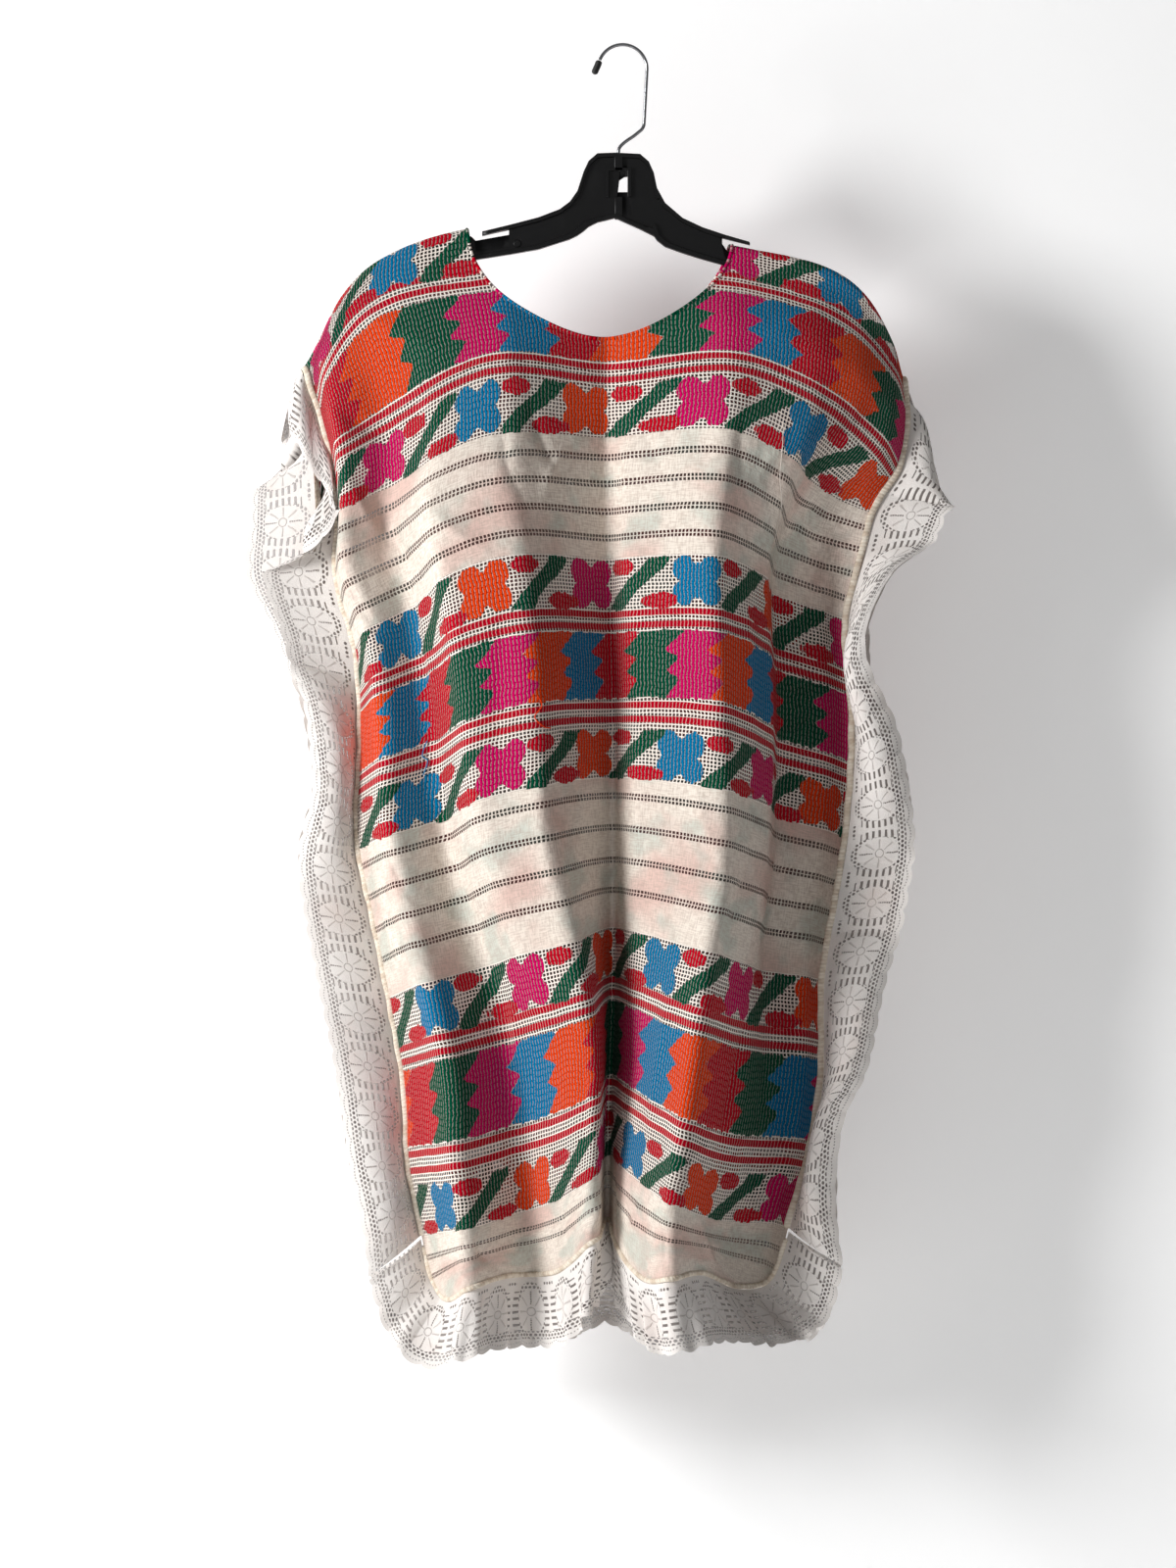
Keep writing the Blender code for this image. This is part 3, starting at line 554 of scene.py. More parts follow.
Blocks = namedtuple("Blocks", "top bottom edges colours")
BLOCK_BANDS = [
    Blocks(46, 100, (-238, -182, -133, -92, -48, -12, 38, 78, 119, 153, 190, 235, 267),
           "ROGMBROGMBROGM"),
    Blocks(317, 368, (-246, -207, -169, -130, -91, -53, -14, 25, 63, 102, 141, 180, 218, 257),
           "OBRGMOBRGMOBRGM"),
    Blocks(620, 678, (-284, -240, -196, -152, -108, -64, -20, 24, 68, 112, 156, 200, 244, 288),
           "ORGMBORGMBORGBM"),
]

# the first flower's place across, and the even pitch of the others; a flower whose letter is N
# would fall in the neck hole
Vine = namedtuple("Vine", "middle first pitch colours")
VINES = [
    Vine(10, -264, 91, "MBONMBO"),
    Vine(140, -216, 98, "MBOMBO"),
    Vine(278, -227, 104, "BOMBOM"),
    Vine(412, -212, 95, "BMOBMO"),
    Vine(580, -220, 100, "BMOBMO"),
    Vine(725, -238, 103, "BOMBOM"),
]
LEAF_AFTER, BERRY_AFTER, BERRY_BEFORE = 49.0, 34.7, 33.5
UPPER_BERRY, LOWER_BERRY = 12.8, 15.0       # above and below the vine's middle
UPPER_BERRY_HALF, LOWER_BERRY_HALF, BERRY_HALF_HEIGHT = 12.5, 15.5, 5.8
LOBE_ACROSS, LOBE_DOWN, LOBE_RADIUS = 11.4, 9.4, 9.3
HEART_HALF, HEART_JOIN = 11.0, 5.0
LEAF_REACH, LEAF_BEND, LEAF_HALF_WIDTH, LEAF_HALF_HEIGHT = 21.5, 1.2, 9.4, 19.5
FAR_OFF = 99.0               # a distance for cloth with no figure near
YARNS = {"magenta": "M", "blue": "B", "green": "G", "orange": "O", "red": "R"}


def circle(x, y, radius):
    return np.hypot(x, y) - radius


def soft_union(first, second, soft):
    part = np.clip(0.5 + 0.5 * (second - first) / soft, 0, 1)
    return second * (1 - part) + first * part - soft * part * (1 - part)


def flower(x, y):
    """Four round lobes joined by a square heart, notched on all four sides."""
    lobes = circle(np.abs(x) - LOBE_ACROSS, np.abs(y) - LOBE_DOWN, LOBE_RADIUS)
    heart = np.maximum(np.abs(x) * 0.9, np.abs(y)) - HEART_HALF
    return soft_union(lobes, heart, HEART_JOIN)


def leaf(x, y):
    """A slanting band from one flower's foot to the next one's top, flat at both ends."""
    bend = np.sin(np.clip(-y / 20.0, -1, 1) * LEAF_BEND)
    middle = LEAF_REACH * bend / math.sin(LEAF_BEND)
    across_leaf = (np.abs(x - middle) - LEAF_HALF_WIDTH) * 0.66
    return np.maximum(across_leaf, np.abs(y) - LEAF_HALF_HEIGHT)


def berry(x, y, half_length):
    return (np.hypot(x / half_length, y / BERRY_HALF_HEIGHT) - 1) * BERRY_HALF_HEIGHT


def blocks_distance(band, letter, across, pattern_down):
    """Distance to the blocks of one colour in a band of toothed blocks."""
    part = (pattern_down - band.top) / (band.bottom - band.top)
    shift = np.interp(part, TOOTH_DROP, TOOTH_SHIFT)
    edges = [-400, *band.edges, 400]
    found = np.full(across.shape, FAR_OFF)
    for start, end, colour in zip(edges, edges[1:], band.colours):
        if colour == letter:
            inside = np.maximum(start + shift - across, across - end - shift) * 0.75
            found = np.minimum(found, inside)
    outside = np.maximum(band.top - pattern_down, pattern_down - band.bottom)
    return np.maximum(found, outside)


def vine_distance(vine, letter, across, pattern_down):
    """Distance to the flowers, leaves or berries of one colour along a vine."""
    y = pattern_down - vine.middle
    found = np.full(across.shape, FAR_OFF)
    for number, colour in enumerate("-" + vine.colours):
        x = across - vine.first - (number - 1) * vine.pitch
        if colour == letter:
            found = np.minimum(found, flower(x, y))
        if letter == "G":
            found = np.minimum(found, leaf(x - LEAF_AFTER, y - 1))
        if letter == "R":
            upper = berry(x - BERRY_AFTER, y + UPPER_BERRY, UPPER_BERRY_HALF)
            lower = berry(x + BERRY_BEFORE, y - LOWER_BERRY, LOWER_BERRY_HALF)
            found = np.minimum(np.minimum(found, upper), lower)
    return found


def yarn_distances(across, down):
    """For each yarn colour, the distance to its nearest figure."""
    pattern_down = down - PATTERN_START
    found = {}
    for yarn, letter in YARNS.items():
        reach = np.full(across.shape, FAR_OFF)
        for band in BLOCK_BANDS:
            reach = np.minimum(reach, blocks_distance(band, letter, across, pattern_down))
        for vine in VINES:
            reach = np.minimum(reach, vine_distance(vine, letter, across, pattern_down))
        found[yarn] = reach
    return found


print("yarn colours:", ", ".join(YARNS))

# %% [markdown]
# ## The woven finish
# Up close the cloth has three weaves.  Plain cotton is close and slightly soiled.  In the
# figured bands the ground opens into a net, and each figure is a row of fat yarn columns with a
# white warp thread stitched between them.  Rows of small drawn holes cross the plain parts.
# Cutting every hole in the mesh would need millions of faces, so the finish draws them: partly
# clear, with alpha, and partly tinted as dark as the shade inside the blouse.

# %% Finish of the brocaded cloth
WARP_PITCH = 3.2
WEFT_PITCH = 2.9
NET_BANDS = ((-30.0, 161.0), (257.5, 432.5), (559.5, 746.0))
RED_STRIPES = (28.0, 37.5, 105.0, 115.0, 302.0, 311.5, 374.0, 385.0, 602.5, 613.0, 684.0, 696.0)
STRIPE_HALF, STRIPE_SOFT = 2.5, 0.25
HOLE_CLEAR = 0.35            # the share of a hole that is clear; the rest is tinted
DRAWN_ROWS = (177.0, 198.0, 220.0, 241.0, 447.0, 474.0, 502.0, 528.0, 766.0, 785.0)


def nearest(wire, places):
    """Distance from the nearest of a few places."""
    found = abs(wire - places[0])
    for place in places[1:]:
        found = found.min(abs(wire - place))
    return found


def brocade_finish():
    f = Finish("brocaded_cotton", roughness=0.95, shine=0.02)
    across = f.measure("across")
    down = f.measure("down") - PATTERN_START
    flat = f.vector(across, down)

    sway = (f.noise(f.vector(across * 0.045, down * 0.16), 1.0) - 0.5) * 3.4
    warp = across + sway
    column = (warp / WARP_PITCH).floor()
    off_thread = warp.off_centre(WARP_PITCH)
    luck = f.chance(column)

    # white warp dashes, broken at uneven places
    dash_place = (down / 4.6 + luck * 7).fract()
    dash = off_thread.step(0.62, 0.3) * abs(dash_place - 0.5).step(0.44, 0.36)

    # the open net of the figured bands
    net_row = down + (f.noise(f.vector(across * 0.05, down * 0.02), 1.0) - 0.5) * 2
    net_thread = off_thread.step(0.72, 0.45).max(net_row.off_centre(WEFT_PITCH).step(0.62, 0.38))
    in_net = down.between(*NET_BANDS[0])
    for start, end in NET_BANDS[1:]:
        in_net = in_net.max(down.between(start, end))

    # the yarn figures, with edges that follow the columns
    tooth = (luck - 0.7) * 1.6
    layers = {}
    figured = None
    for yarn in YARNS:
        layers[yarn] = (f.measure(yarn) + tooth).step(0.45, 0.0)
        figured = layers[yarn] if figured is None else figured.max(layers[yarn])

    stripe_off = nearest(down + (f.noise(flat, 0.06) - 0.5) * 1.2, RED_STRIPES)
    stripe = stripe_off.step(STRIPE_HALF + STRIPE_SOFT, STRIPE_HALF - STRIPE_SOFT)
    stripe = stripe * (off_thread.step(0.2, 0.45) * 0.4 + 0.6)

    # drawn-thread rows of holes in the plain cotton
    row_off = nearest(down, DRAWN_ROWS)
    drawn = row_off.step(0.3, 0.5) * row_off.step(2.8, 2.5) * off_thread.step(0.45, 0.7)

    # colour
    soil = f.noise(flat, 0.011, 3)
    shade = f.noise(flat, 0.024, 2)
    plain = f.mix(soil.step(0.46, 0.64) * 0.7, CREAM, dye(208, 168, 158))
    plain = f.mix(shade.step(0.5, 0.66) * 0.6, plain, dye(180, 192, 182))
    slub = (f.noise(f.vector(across * 0.9, down * 0.12), 1.0, 3) * 0.5
            + f.noise(f.vector(across * 0.12, down * 0.9), 1.0, 3) * 0.5)
    plain = f.mix(slub.step(0.42, 0.6) * 0.5, plain, dye(176, 158, 146))
    ground = f.mix(in_net, plain, WARP_WHITE)
    grain = f.noise(f.vector(across * 0.7, down * 1.6), 1.0, 3)
    colour = ground
    for yarn, tint in zip(YARNS, (MAGENTA, BLUE, GREEN, ORANGE, RED)):
        colour = f.mix(layers[yarn], colour, tint)
    colour = f.mix(stripe * in_net * (1 - figured), colour, STRIPE_RED)
    wear = f.mix(grain.step(0.3, 0.7), (0.42, 0.42, 0.42), (1.1, 1.1, 1.1))
    worn = f.mix(1.0, colour, wear, "MULTIPLY")
    colour = f.mix(figured.max(stripe * in_net) * 0.9, colour, worn)
    # painted shade: the yarn is darkened in the grooves between its columns, where shade falls
    groove_shade = off_thread.step(1.3, 0.5) * figured
    groove_shaded_colour = f.mix(1.0, colour, (0.3, 0.3, 0.3), "MULTIPLY")
    colour = f.mix(groove_shade * 0.5, colour, groove_shaded_colour)
    colour = f.mix(dash * figured, colour, f.mix(0.3, colour, WARP_WHITE))

    # holes, tinted as the shade inside and partly clear
    solid_net = net_thread.max(figured).max(stripe)
    hole = (in_net * (1 - solid_net)).max(drawn * (1 - in_net))
    inside = f.mix(f.noise(flat, 0.02).step(0.42, 0.6), SHADE_IN_HOLES, dye(44, 50, 46))
    f.feed("Base Color", f.mix(hole, colour, inside))
    f.feed("Alpha", 1 - hole * HOLE_CLEAR)

    # relief
    yarn_round = off_thread.step(0.3, 1.3)
    relief = figured * (yarn_round * 0.8 + grain * 0.5) + dash * figured * 0.9
    relief = relief + (1 - figured) * in_net * net_thread * 0.6 + (1 - in_net) * slub * 0.5
    relief = relief + f.noise(flat, 0.05, 4, 0.6) * 2.2
    f.bump(relief, 0.7)
    return f.material


brocade = brocade_finish()
print("finish:", brocade.name, len(brocade.node_tree.nodes), "nodes")


# %% [markdown]
# ## The two panels
# Front and back are one length of cloth folded at the shoulders.  Each is one thin sheet on the
# middle of its solid, and carries its flat places and its yarn distances as numbers on its points.

# %% Sheets from grids
def sheet_mesh(name, grid, measures, material):
    """A thin sheet through a grid of places, with numbers for its finish on every point."""
    rows, columns = grid.shape[:2]
    data = bpy.data.meshes.new(name)
    number = np.arange(rows * columns).reshape(rows, columns)
    corners = [number[:-1, :-1], number[1:, :-1], number[1:, 1:], number[:-1, 1:]]
    corners = np.stack(corners, axis=-1).reshape(-1, 4)
    data.from_pydata((grid.reshape(-1, 3) * MM).tolist(), [], corners.tolist())
    for key, values in measures.items():
        stored = data.attributes.new(key, "FLOAT", "POINT")
        values = np.broadcast_to(values, (rows, columns)).astype(np.float32)
        stored.data.foreach_set("value", values.ravel())
    bake_map = data.uv_layers.new(name="OFBake")
    u, v = np.meshgrid(np.linspace(0.002, 0.998, columns), np.linspace(0.998, 0.002, rows))
    places = np.stack([u.ravel(), v.ravel()], axis=1)[corners.ravel()]
    bake_map.data.foreach_set("uv", places.astype(np.float32).ravel())
    data.shade_smooth()
    data.materials.append(material)
    made = bpy.data.objects.new(name, data)
    bpy.context.scene.collection.objects.link(made)
    return made


def surface_normals(grid):
    normals = np.cross(np.gradient(grid, axis=1), np.gradient(grid, axis=0))
    return normals / np.linalg.norm(normals, axis=2, keepdims=True)


def panel(name, cloth, creases):
    """A whole panel, creased and ready for its finish."""
    grid = cloth.point(grid_across, grid_down)
    lift = crease_heights(creases, grid_across, grid_down) * ease(grid_down, 20, 80)
    grid = grid + surface_normals(grid) * lift[..., None] * cloth.side
    measures = {"across": grid_across, "down": grid_down, **yarn_distances(grid_across, grid_down)}
    return sheet_mesh(name, grid, measures, brocade)


front_sheet = panel("front_cloth", front, FRONT_CREASES)
back_sheet = panel("back_cloth", back, BACK_CREASES)

# %% [markdown]
# ## The lace
# A cotton machine lace, about 58 mm wide, is sewn down both sides and gathered along the hem.
# Its figure repeats every 40 mm: a close oval medallion, then two rows of slots with a bar
# between, all inside a border of small round holes and a solid scalloped edge.  Modelling every
# thread would need millions of faces, so the strip is a thin sheet and its finish draws the
# holes, a little clear and mostly painted dark grey with the shade behind them, darker in the
# outer border.  The scallops, pleats and waves are in the mesh.

# %% Finish of the lace
LACE_WIDTH = 58.0
LACE_REPEAT = 40.0
LACE_MIDDLE = 27.0
SCALLOP_PITCH = 17.2
SCALLOP_RISE = 3.2
PETALS = 8
PINHOLE_PITCH_ALONG, PINHOLE_PITCH_OUT = 3.5, 3.2
PICOT_INSIDE = 4.2           # the pinholes inside the scallops stand this far from the edge
LACE_HOLE_CLEAR = 0.3


def lace_finish():
    f = Finish("cotton_lace", roughness=0.9, shine=0.05)
    along, out = f.measure("along"), f.measure("out")
    jitter = f.noise(f.vector(along * 0.25, out * 0.25), 1.0) - 0.5
    a = along + jitter * 1.2
    o = out + jitter * 0.9

    step_a = (((a / LACE_REPEAT) + 0.5).fract() - 0.5) * LACE_REPEAT
    step_o = o - LACE_MIDDLE
    medallion = (step_a / 12.2).length(step_o / 17.0)
    outside = medallion.step(1.03, 1.08)

    # two rows of slots either side of a bar, bowed round the medallions
    bowed = abs(step_a) + step_o * step_o * 0.008
    slots = bowed.between(13.2, 18.8, 0.3) * abs(step_o).step(16.5, 15.5)
    slot = slots * step_o.off_centre(5.4).step(1.15, 0.8)
    # staggered pinholes down both sides, and clusters of them round the medallions
    pin_row = o / PINHOLE_PITCH_OUT
    shift = pin_row.floor() * 0.5
    hole_a = (a / PINHOLE_PITCH_ALONG + shift).off_centre(1.0) * PINHOLE_PITCH_ALONG
    hole_o = (pin_row.fract() - 0.5) * PINHOLE_PITCH_OUT
    dot = hole_a.length(hole_o).step(1.3, 0.95)
    round_medallion = medallion.between(1.08, 1.34, 0.03) * (1 - slots)
    outer_border = o.between(43.4, 49.8, 0.2)
    border = outer_border.max(o.between(3.0, 6.4, 0.2) * abs(step_a).step(13.0, 15.0))
    # the holes of the outer border beside each medallion get the darker painted shade
    deep = o.between(40.0, 49.8, 0.3) * abs(step_a).step(11.0, 9.0)
    # dotted slits across each medallion and a ring at its heart
    ring_off = abs(step_a.length(step_o) - 3.3)
    slit = abs(step_a).step(0.6, 0.35) * o.off_centre(1.9).step(0.65, 0.45)
    slit = slit * abs(step_o).between(5.5, 15.5)
    from_edge = f.measure("edge") - out
    picot = (from_edge - PICOT_INSIDE).length(along.off_centre(2.2)).step(0.6, 0.35)
    holes = (slot * outside).max(dot * border.max(round_medallion)).max(slit * 0.8).max(picot * 0.7)
    f.feed("Alpha", 1 - holes * LACE_HOLE_CLEAR)

    cloth_work = f.noise(f.vector(along * 1.4, out * 0.9), 1.0, 2)
    turn = step_o.math("ARCTAN2", step_a * 1.4) * (PETALS / (2 * math.pi))
    petals = turn.off_centre(1.0).step(0.1, 0.04) * medallion.between(0.35, 0.95, 0.04)
    rings = ring_off.step(0.5, 0.2)
    colour = f.mix(cloth_work.step(0.35, 0.7) * 0.35, LACE_WHITE, dye(222, 215, 210))
    colour = f.mix((petals * 0.6).max(rings * 0.7), colour, dye(172, 163, 158))
    soiled = f.noise(f.vector(along * 0.012, out * 0.02), 1.0)
    colour = f.mix(soiled.step(0.5, 0.75) * 0.35, colour, dye(222, 200, 190))
    # painted shade: the holes are tinted dark grey as the shade behind them, darker where deep is
    # set
    f.feed("Base Color", f.mix(holes, colour, f.mix(deep, SHADE_IN_LACE, DEEPER_SHADE_IN_LACE)))
    relief = cloth_work * 0.5 + (1 - holes) * 0.9 - petals * 0.4 + rings * 0.5
    f.bump(relief, 0.8)
    return f.material


lace = lace_finish()
print("finish:", lace.name, len(lace.node_tree.nodes), "nodes")

# %% Where the lace reaches
Reach = namedtuple("Reach", "down out forward up")
LACE_LEFT = rows_of(
    Reach,
    (0, 8, 6, -56), (40, 0, 14, -56), (80, -8, 22, -52), (130, 10, 28, -48), (170, 46, 12, -32),
    (205, 62, 8, -4), (245, 62, 8, 6), (300, 54, 12, 14), (345, 44, 16, 22), (400, 34, 20, 18),
    (470, 52, 12, 10), (560, 55, 10, 8), (650, 52, 14, 6), (700, 44, 18, -4),
    (757, 42, 18, -32),
)
LACE_LEFT_BACK = [
    Reach(0, 8, 6, -56),
    Reach(40, 12, 14, -50),
    Reach(75, 36, 18, -38),
    Reach(110, 52, 12, -22),
    Reach(150, 60, 8, -8),
    Reach(205, 62, 8, 0),
    *LACE_LEFT[6:],
]
LACE_RIGHT = rows_of(
    Reach,
    (0, 8, -12, -56), (50, 16, -12, -48), (100, 34, -6, -36), (150, 58, 8, -8),
    (210, 56, 10, 10), (265, 34, 20, 36), (320, 14, 26, 32), (370, 34, 20, 20),
    (430, 52, 12, 8), (520, 58, 8, 2), (590, 48, 14, 6), (650, 36, 20, 14), (695, 22, 24, 22),
    (757, 44, 18, -30),
)
Gather = namedtuple("Gather", "across right forward up")
LACE_HEM = rows_of(
    Gather,
    (-295, -42, 18, -32), (-270, -30, 18, -46), (-225, -12, 12, -60), (-180, -2, 18, -60),
    (-130, 2, 8, -62), (-80, 4, 14, -62), (-40, -4, 8, -62), (0, 0, 4, -50), (45, 6, 6, -66),
    (90, 8, 14, -64), (140, 12, 8, -62), (190, 22, 16, -58), (235, 34, 12, -50),
    (270, 40, 18, -40), (295, 44, 18, -30),
)
Lean = namedtuple("Lean", "spread share least_out")
FRONT_LEAN = Lean(0, 1, -8)
BACK_LEAN = Lean(14, 0.3, 18)
OUT_STEPS = 22
END_CALM = 30.0              # the waves die out this near a strip's ends
ALONG_STEP = 1.9
LEAVING, LEAVING_BULGE = 1.4, 3.6   # how the lace leaves its seam before it turns to its reach


def along_length(points):
    return np.append(0, np.cumsum(np.linalg.norm(np.diff(points, axis=0), axis=1)))


def lace_strip(name, seam, away, reach, ripple, start, outward):
    """A strip from its seam line to its scalloped edge, rippled by pleats that start at the seam.

    seam, away and reach are one row for each place along it; ripple gives the pleats' depth.
    Where its edge is nearer the seam than the lace is wide, the strip bows outward to keep its
    width.
    """
    along = along_length(seam + reach / 2) + start
    scallop = np.abs(np.sin(math.pi * along / SCALLOP_PITCH)) ** 0.6
    edge = LACE_WIDTH - SCALLOP_RISE * (1 - scallop)
    asked = np.linalg.norm(reach, axis=1)
    chord = np.minimum(asked, LACE_WIDTH)
    reach = reach * (chord / asked * edge / LACE_WIDTH)[:, None]
    bow = np.sqrt(3 * chord * (LACE_WIDTH - chord) / 8)
    share = np.linspace(0, 1, OUT_STEPS + 1)[None, :, None]
    off = away[:, None] * LEAVING
    grid = seam[:, None] + off * (1 - share) + reach[:, None] * share
    grid = grid + off * share * (1 - share) * LEAVING_BULGE
    sideways = np.gradient(seam + reach * 0.5, axis=0)
    normal = np.cross(sideways, reach)
    normal *= (np.sign(normal[:, 1] * outward) / np.linalg.norm(normal, axis=1))[:, None]
    lift = bow[:, None, None] * 4 * share * (1 - share)
    at_ends = np.minimum(1, np.minimum(along - along[0], along[-1] - along) / END_CALM)
    waves = (ripple(along) * at_ends)[:, None, None] * share * (1.4 - 0.5 * share)
    grid = grid + normal[:, None] * (lift + waves)
    out = edge[:, None] * share[..., 0]
    measures = {"along": along[:, None], "out": out, "edge": edge[:, None]}
    return sheet_mesh(name, grid, measures, lace)


def side_ripple(along):
    """Slow uneven waves of a lace that is sewn on almost flat."""
    return 3.0 * np.sin(along / 17 + 1.3 * np.sin(along / 61)) + 2.2 * np.sin(along / 41 + 2)


def hem_ripple(along):
    """Close pleats of a gathered lace, each a little different."""
    return (4.4 * np.sin(along / 5.2 + 2.2 * np.sin(along / 23) + np.sin(along / 9.7))
            * (0.75 + 0.25 * np.sin(along / 31)))


def lean_forward(cloth, lean, forward):
    return cloth.side * (lean.spread + lean.share * forward)


def side_lace(name, cloth, table, hand, lean, start):
    """Lace along one side edge, from the shoulder fold to the bottom corner."""
    edge = hand * CLOTH_HALF_WIDTH
    last = float(hem_edge(np.array(edge)))
    down = np.linspace(1.5, last - 1.5, int(last / ALONG_STEP))
    seam = cloth.point(np.full_like(down, edge), down)
    out, forward, up = row_at(table, down)
    sideways = hand * np.maximum(out, lean.least_out)
    reach = np.stack([sideways, lean_forward(cloth, lean, forward), up], axis=1)
    away = np.tile([hand * 1.0, 0.0, 0.0], (len(down), 1))
    return lace_strip(name, seam, away, reach, side_ripple, start, cloth.side)


def hem_lace(name, cloth, lean, start):
    """Gathered lace along the hem, round both bottom corners."""
    across = np.linspace(-CLOTH_HALF_WIDTH, CLOTH_HALF_WIDTH, int(2.3 * CLOTH_HALF_WIDTH / 1.2))
    across = CLOTH_HALF_WIDTH * np.sin(across / CLOTH_HALF_WIDTH * math.pi / 2)
    seam = cloth.point(across, hem_edge(across))
    right, forward, up = row_at(LACE_HEM, across)
    reach = np.stack([right, lean_forward(cloth, lean, forward), up], axis=1)
    corner = np.maximum(np.abs(across) - 205, 0) / 90 * np.sign(across) * 0.7
    away = np.stack([corner, np.zeros_like(across), -np.ones_like(across)], axis=1)
    return lace_strip(name, seam, away, reach, hem_ripple, start, cloth.side)


laces = {
    "lace_left_front": side_lace("left_front_lace", front, LACE_LEFT, -1, FRONT_LEAN, 6),
    "lace_left_back": side_lace("left_back_lace", back, LACE_LEFT_BACK, -1, BACK_LEAN, 19),
    "lace_right_front": side_lace("right_front_lace", front, LACE_RIGHT, 1, FRONT_LEAN, 28),
    "lace_right_back": side_lace("right_back_lace", back, LACE_RIGHT, 1, BACK_LEAN, 3),
    "lace_hem_front": hem_lace("hem_front_lace", front, FRONT_LEAN, 11),
    "lace_hem_back": hem_lace("hem_back_lace", back, BACK_LEAN, 25),
}
for node, strip in laces.items():
    print(strip.name, len(strip.data.polygons), "faces")


# %% [markdown]
# ## Rolled edges and seams
# The neck is finished with a narrow roll of the same cloth.  Where the lace is sewn on, the
# cloth's edge is folded to the front as a soft cream ridge with a line of stitches beside it.
# Both are round tubes swept along their edge.

# %% Ridges along an edge
def swept(name, route, wide, deep, material, measures=None, turns=10):
    """A soft ridge along a route of places, wide along the surface and deep across it."""
    route = np.asarray(route)
    forward = np.gradient(route, axis=0)
    forward /= np.linalg.norm(forward, axis=1, keepdims=True)
    side = np.cross(forward, [0.0, 1.0, 0.0])
    side /= np.linalg.norm(side, axis=1, keepdims=True)
    face = np.cross(side, forward)
    around = np.linspace(0, 2 * math.pi, turns + 1)
    grid = (route[:, None] + side[:, None] * (np.cos(around) * wide)[None, :, None]
            + face[:, None] * (np.sin(around) * deep)[None, :, None])
    return sheet_mesh(name, grid, measures or {}, material)


def cord_finish():
    f = Finish("seam_cotton", roughness=0.9, shine=0.15)
    along, around = f.measure("along"), f.measure("around")
    twist = (along / 3.0 + around).off_centre(1.0)
    puff = f.noise(f.vector(along * 0.2, around), 1.0, 3)
    colour = f.mix(puff.step(0.35, 0.7), dye(236, 226, 210), dye(206, 188, 168))
    f.feed("Base Color", f.mix(twist.step(0.2, 0.05) * 0.35, colour, dye(190, 172, 150)))
    f.bump(twist * 0.8 + puff, 0.8)
    return f.material


seam_cotton = cord_finish()


def seam_ridge(name, cloth, across, down, wide=2.6, deep=1.5):
    route = cloth.point(across, down) + np.array([0, cloth.side * 0.9, 0])
    along = along_length(route)
    uneven = 0.35 * np.sin(along / 5.3 + np.sin(along / 17))
    route = route + np.stack([uneven, np.zeros_like(along), uneven * 0.5], axis=1)
    around = np.linspace(0, 1, 11)
    measures = {"along": along[:, None], "around": around[None, :]}
    return swept(name, route, wide, deep, seam_cotton, measures)


def neck_roll(name, cloth):
    """The neck's rolled edge, coloured as the cloth beside it."""
    turns = np.linspace(0.01, math.pi - 0.01, 160)
    across = NECK_CENTRE - NECK_HALF_WIDTH * np.cos(turns)
    down = neck_edge(across)
    route = cloth.point(across, down)
    measures = {"across": across[:, None], "down": down[:, None] + 1.5}
    measures.update({yarn: d[:, None] for yarn, d in yarn_distances(across, down + 1.5).items()})
    return swept(name, route, 1.3, 1.1, brocade, measures, turns=8)


trims = {"front": [], "back": []}
for side, cloth in (("front", front), ("back", back)):
    for hand, word in ((-1, "left"), (1, "right")):
        down = np.linspace(4, float(hem_edge(np.array(CLOTH_HALF_WIDTH))) - 2, 330)
        across = np.full_like(down, hand * (CLOTH_HALF_WIDTH - 2.5))
        trims[side].append(seam_ridge(f"{word}_{side}_seam", cloth, across, down))
    across = np.linspace(-CLOTH_HALF_WIDTH + 0.5, CLOTH_HALF_WIDTH - 0.5, 420)
    hem_line = hem_edge(across) - 1.5
    trims[side].append(seam_ridge(f"hem_{side}_seam", cloth, across, hem_line, 2.0, 1.3))
    trims[side].append(neck_roll(f"neck_{side}_roll", cloth))
print(sum(len(found) for found in trims.values()), "rolled edges and seams")

# %% Loose threads
def yarn_finish(name, tint):
    f = Finish(name, roughness=0.9, shine=0.15)
    fuzz = f.noise(f.node("TexCoord", output="Object"), 900.0, 2)
    f.feed("Base Color", f.mix(fuzz, tint, tuple(c * 0.6 for c in tint)))
    return f.material


Thread = namedtuple("Thread", "name tint thick places")
THREADS = [
    Thread("orange_thread", ORANGE, 0.45,
           ((-88, 372), (-84, 380), (-90, 388), (-82, 396), (-74, 398))),
    Thread("blue_thread", BLUE, 0.45,
           ((-205, 376), (-208, 386), (-203, 392), (-206, 402))),
    Thread("white_thread", WARP_WHITE, 0.3,
           ((150, 150), (158, 168), (164, 190), (176, 208), (186, 232))),
    Thread("magenta_thread", MAGENTA, 0.4,
           ((-6, 690), (-4, 702), (-8, 712), (-5, 722))),
]
ABOVE_CLOTH = 1.6            # how far in front of the cloth a loose thread lies
threads = []
for thread in THREADS:
    across, down = np.array(thread.places, float).T
    share = np.linspace(0, 1, len(across))
    fine = np.linspace(0, 1, 60)
    spots = smooth_curve(share, across, fine), smooth_curve(share, down, fine)
    route = front.point(*spots) + np.array([0, -ABOVE_CLOTH, 0])
    yarn = yarn_finish(thread.name, thread.tint)
    threads.append(swept(thread.name, route, thread.thick, thread.thick, yarn, turns=6))
print(len(threads), "loose threads")

# %% [markdown]
# ## The hanger
# A moulded top hanger is an I-beam: a thin web with a thick rim all round, so that it is stiff
# and cheap.  It is lofted here from its upper and lower edge, then the strap notches and the
# window are cut, and the small moulded details are added.

